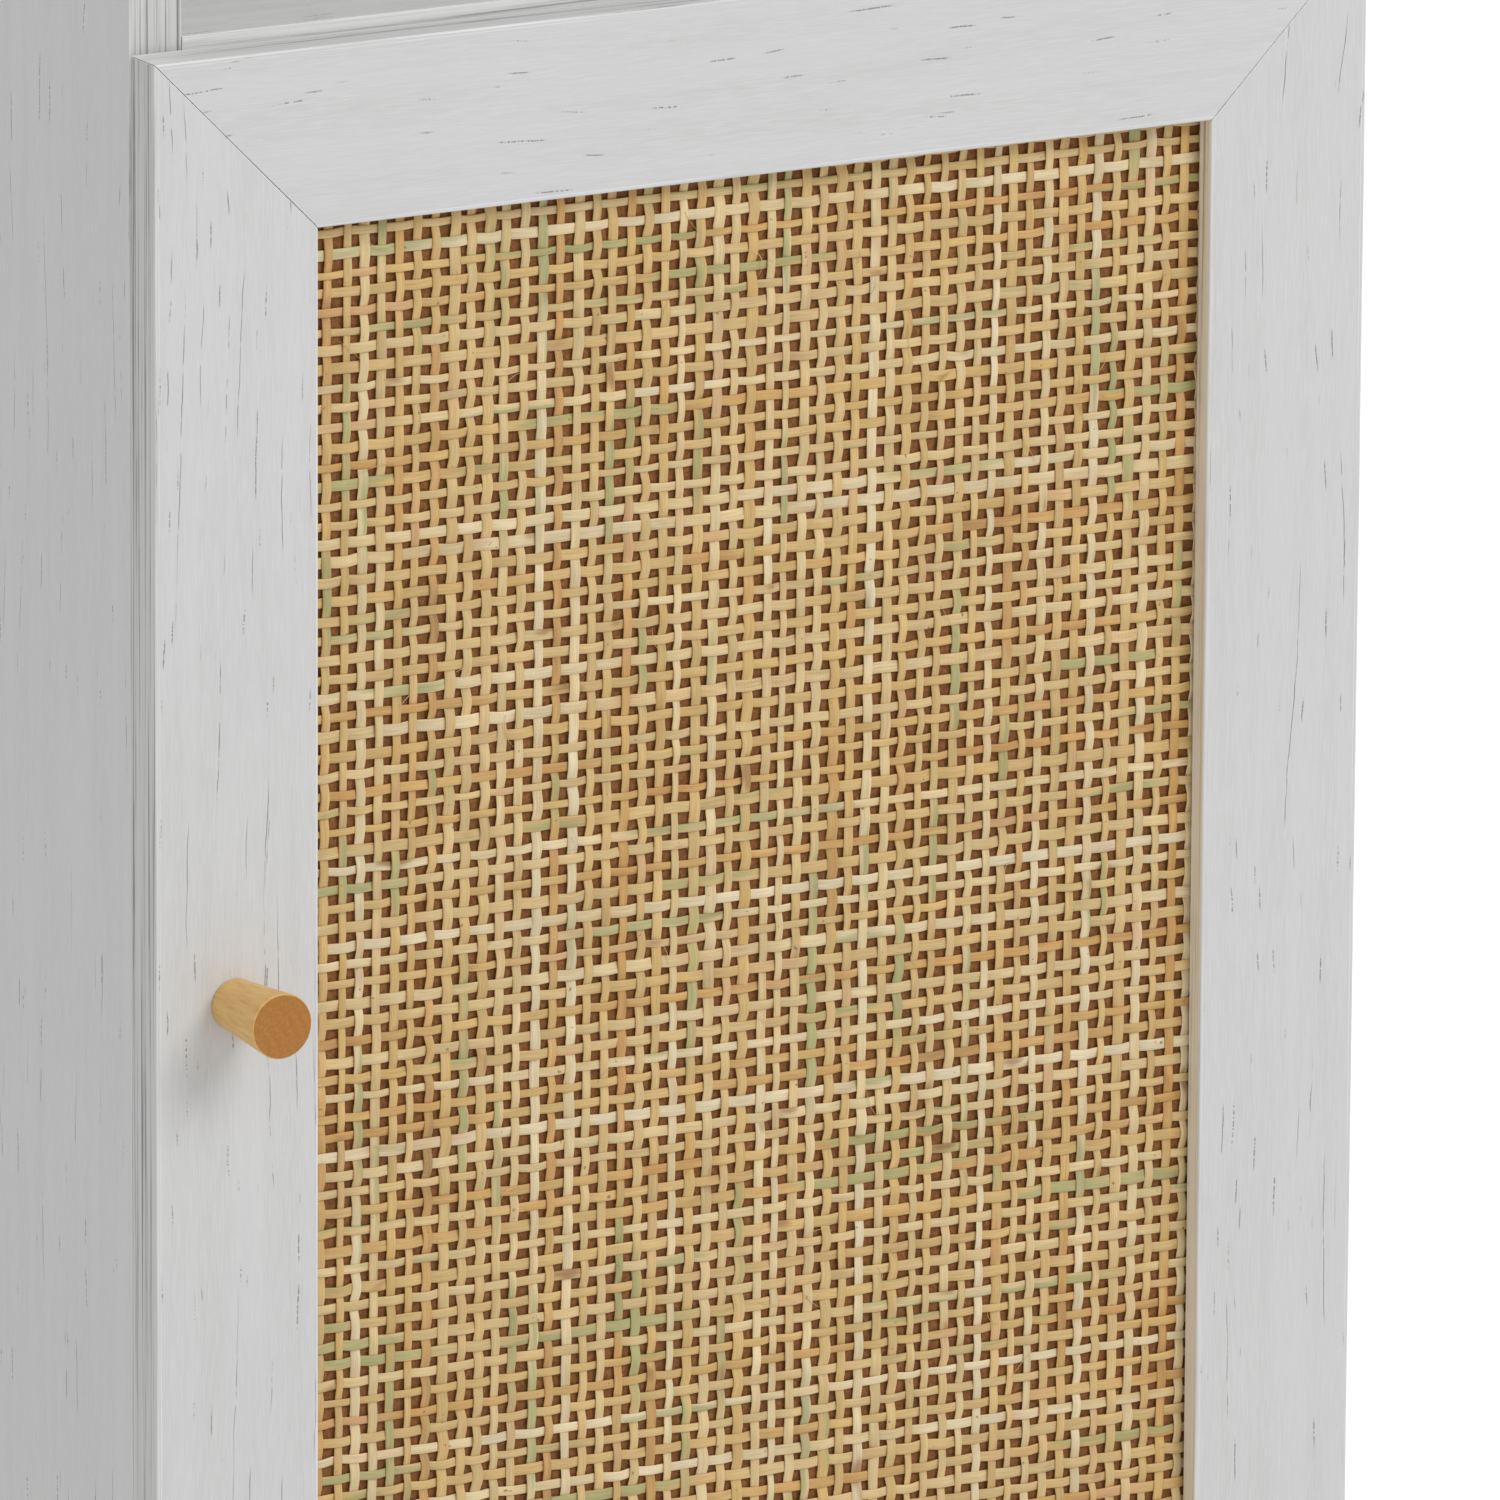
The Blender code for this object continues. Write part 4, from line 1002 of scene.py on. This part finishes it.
def buildHairs():
    # Loose fibres: each is an arc in the plane of the weave that lifts off it in the middle.
    low, high = span("cane_panel")
    random = np.random.default_rng(hairs["seed"])
    count, stations = hairs["count"], hairs["stations"]
    t = np.linspace(0, 1, stations)
    edge = door["rebateWidth"] + hairs["inset"]
    start = random.uniform((low[0] + edge, low[2] + edge), (high[0] - edge, high[2] - edge), (count, 2))
    heading = random.uniform(0, math.tau, (count, 1))
    bend = random.uniform(-hairs["bend"], hairs["bend"], (count, 1))
    length = random.uniform(*hairs["length"], (count, 1))
    angle = heading + bend * t
    step = length / (stations - 1)
    x = start[:, :1] + np.cumsum(np.cos(angle), axis=1) * step
    z = start[:, 1:] + np.cumsum(np.sin(angle), axis=1) * step
    rise = hairs["lift"] * np.sin(math.pi * t)[None] * random.uniform(0.2, 1, (count, 1))
    y = low[1] + hairs["foot"] - rise
    path = np.stack((x, y, z), axis=-1)
    ahead = np.gradient(path, axis=1)
    ahead /= np.linalg.norm(ahead, axis=2, keepdims=True)
    side = np.cross(ahead, (0, 1, 0))
    side /= np.linalg.norm(side, axis=2, keepdims=True)
    other = np.cross(ahead, side)
    turn = np.linspace(0, math.tau, hairs["around"], endpoint=False)
    thin = hairs["radius"] * (0.35 + 0.65 * np.sin(math.pi * np.clip(t, 0.08, 0.92)))
    circle = (side[:, :, None] * np.cos(turn)[:, None] + other[:, :, None] * np.sin(turn)[:, None])
    rings = path[:, :, None] + circle * thin[None, :, None, None]
    along = t[None, :, None] * length[:, :, None]
    uv = np.stack(np.broadcast_arrays(along, np.full(rings.shape[:3], 0.5)), axis=-1)
    seeds = np.broadcast_to(random.random((count, 1, 1)) * seedRange, rings.shape[:3])
    addShell("caneHairs", "door", rings, [looks["rattan"]], None, (),
             {"strandMap": uv, "strandSeed": seeds})


buildHairs()


addSheet("backingBoard", "backing_board", "door", [looks["backing"]])
print("stage: cane and its backing are made")


knob = {"endRound": 0.8 * mm, "footRound": 0.3 * mm, "baseShare": 0.78, "around": 72}


def buildKnob():
    # A circle carried along the knob's axis: the radius grows evenly from baseShare of the end's
    # radius at the door, and both rims are rounded over a quarter circle.
    low, high = span("knob")
    centre, wide = (low + high) / 2, (high[0] - low[0]) / 2
    narrow, length = wide * knob["baseShare"], high[1] - low[1]
    turn = np.linspace(0, math.tau, knob["around"], endpoint=False)
    quarter = np.linspace(0, math.pi / 2, 7)
    foot, end = knob["footRound"], knob["endRound"]
    distance = np.concatenate((foot * (1 - np.cos(quarter)), length - end * (1 - np.sin(quarter))))
    reach = np.concatenate((narrow - foot * (1 - np.sin(quarter)), wide - end * (1 - np.cos(quarter))))
    x = centre[0] + reach[:, None] * np.cos(turn)
    z = centre[2] + reach[:, None] * np.sin(turn)
    y = np.broadcast_to((high[1] - distance)[:, None], x.shape)
    piece = addShell("turnedKnob", "door", np.stack((x, y, z), axis=-1)[None],
                     [looks["beechSide"], looks["beechEnd"]],
                     lambda normals, _: (normals[:, 1] < -0.9).astype(int), ("knob",))
    keepFlat(piece, 60)


buildKnob()
print("stage: knob is made")


def finishFittings():
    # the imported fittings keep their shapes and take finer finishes
    groups = (("nickel", ("hinge_", "inner_link", "outer_link", "cup_screw", "plate_screw", "shelf_pin",
                          "knob_screw")),
              ("zinc", ("cam_lock",)), ("plastic", ("glide", "door_bumper")))
    for finish, starts in groups:
        for name, node in frame["nodes"].items():
            if name.startswith(starts):
                node.data.materials.clear()
                node.data.materials.append(looks[finish])


finishFittings()
print("stage: fittings are finished")
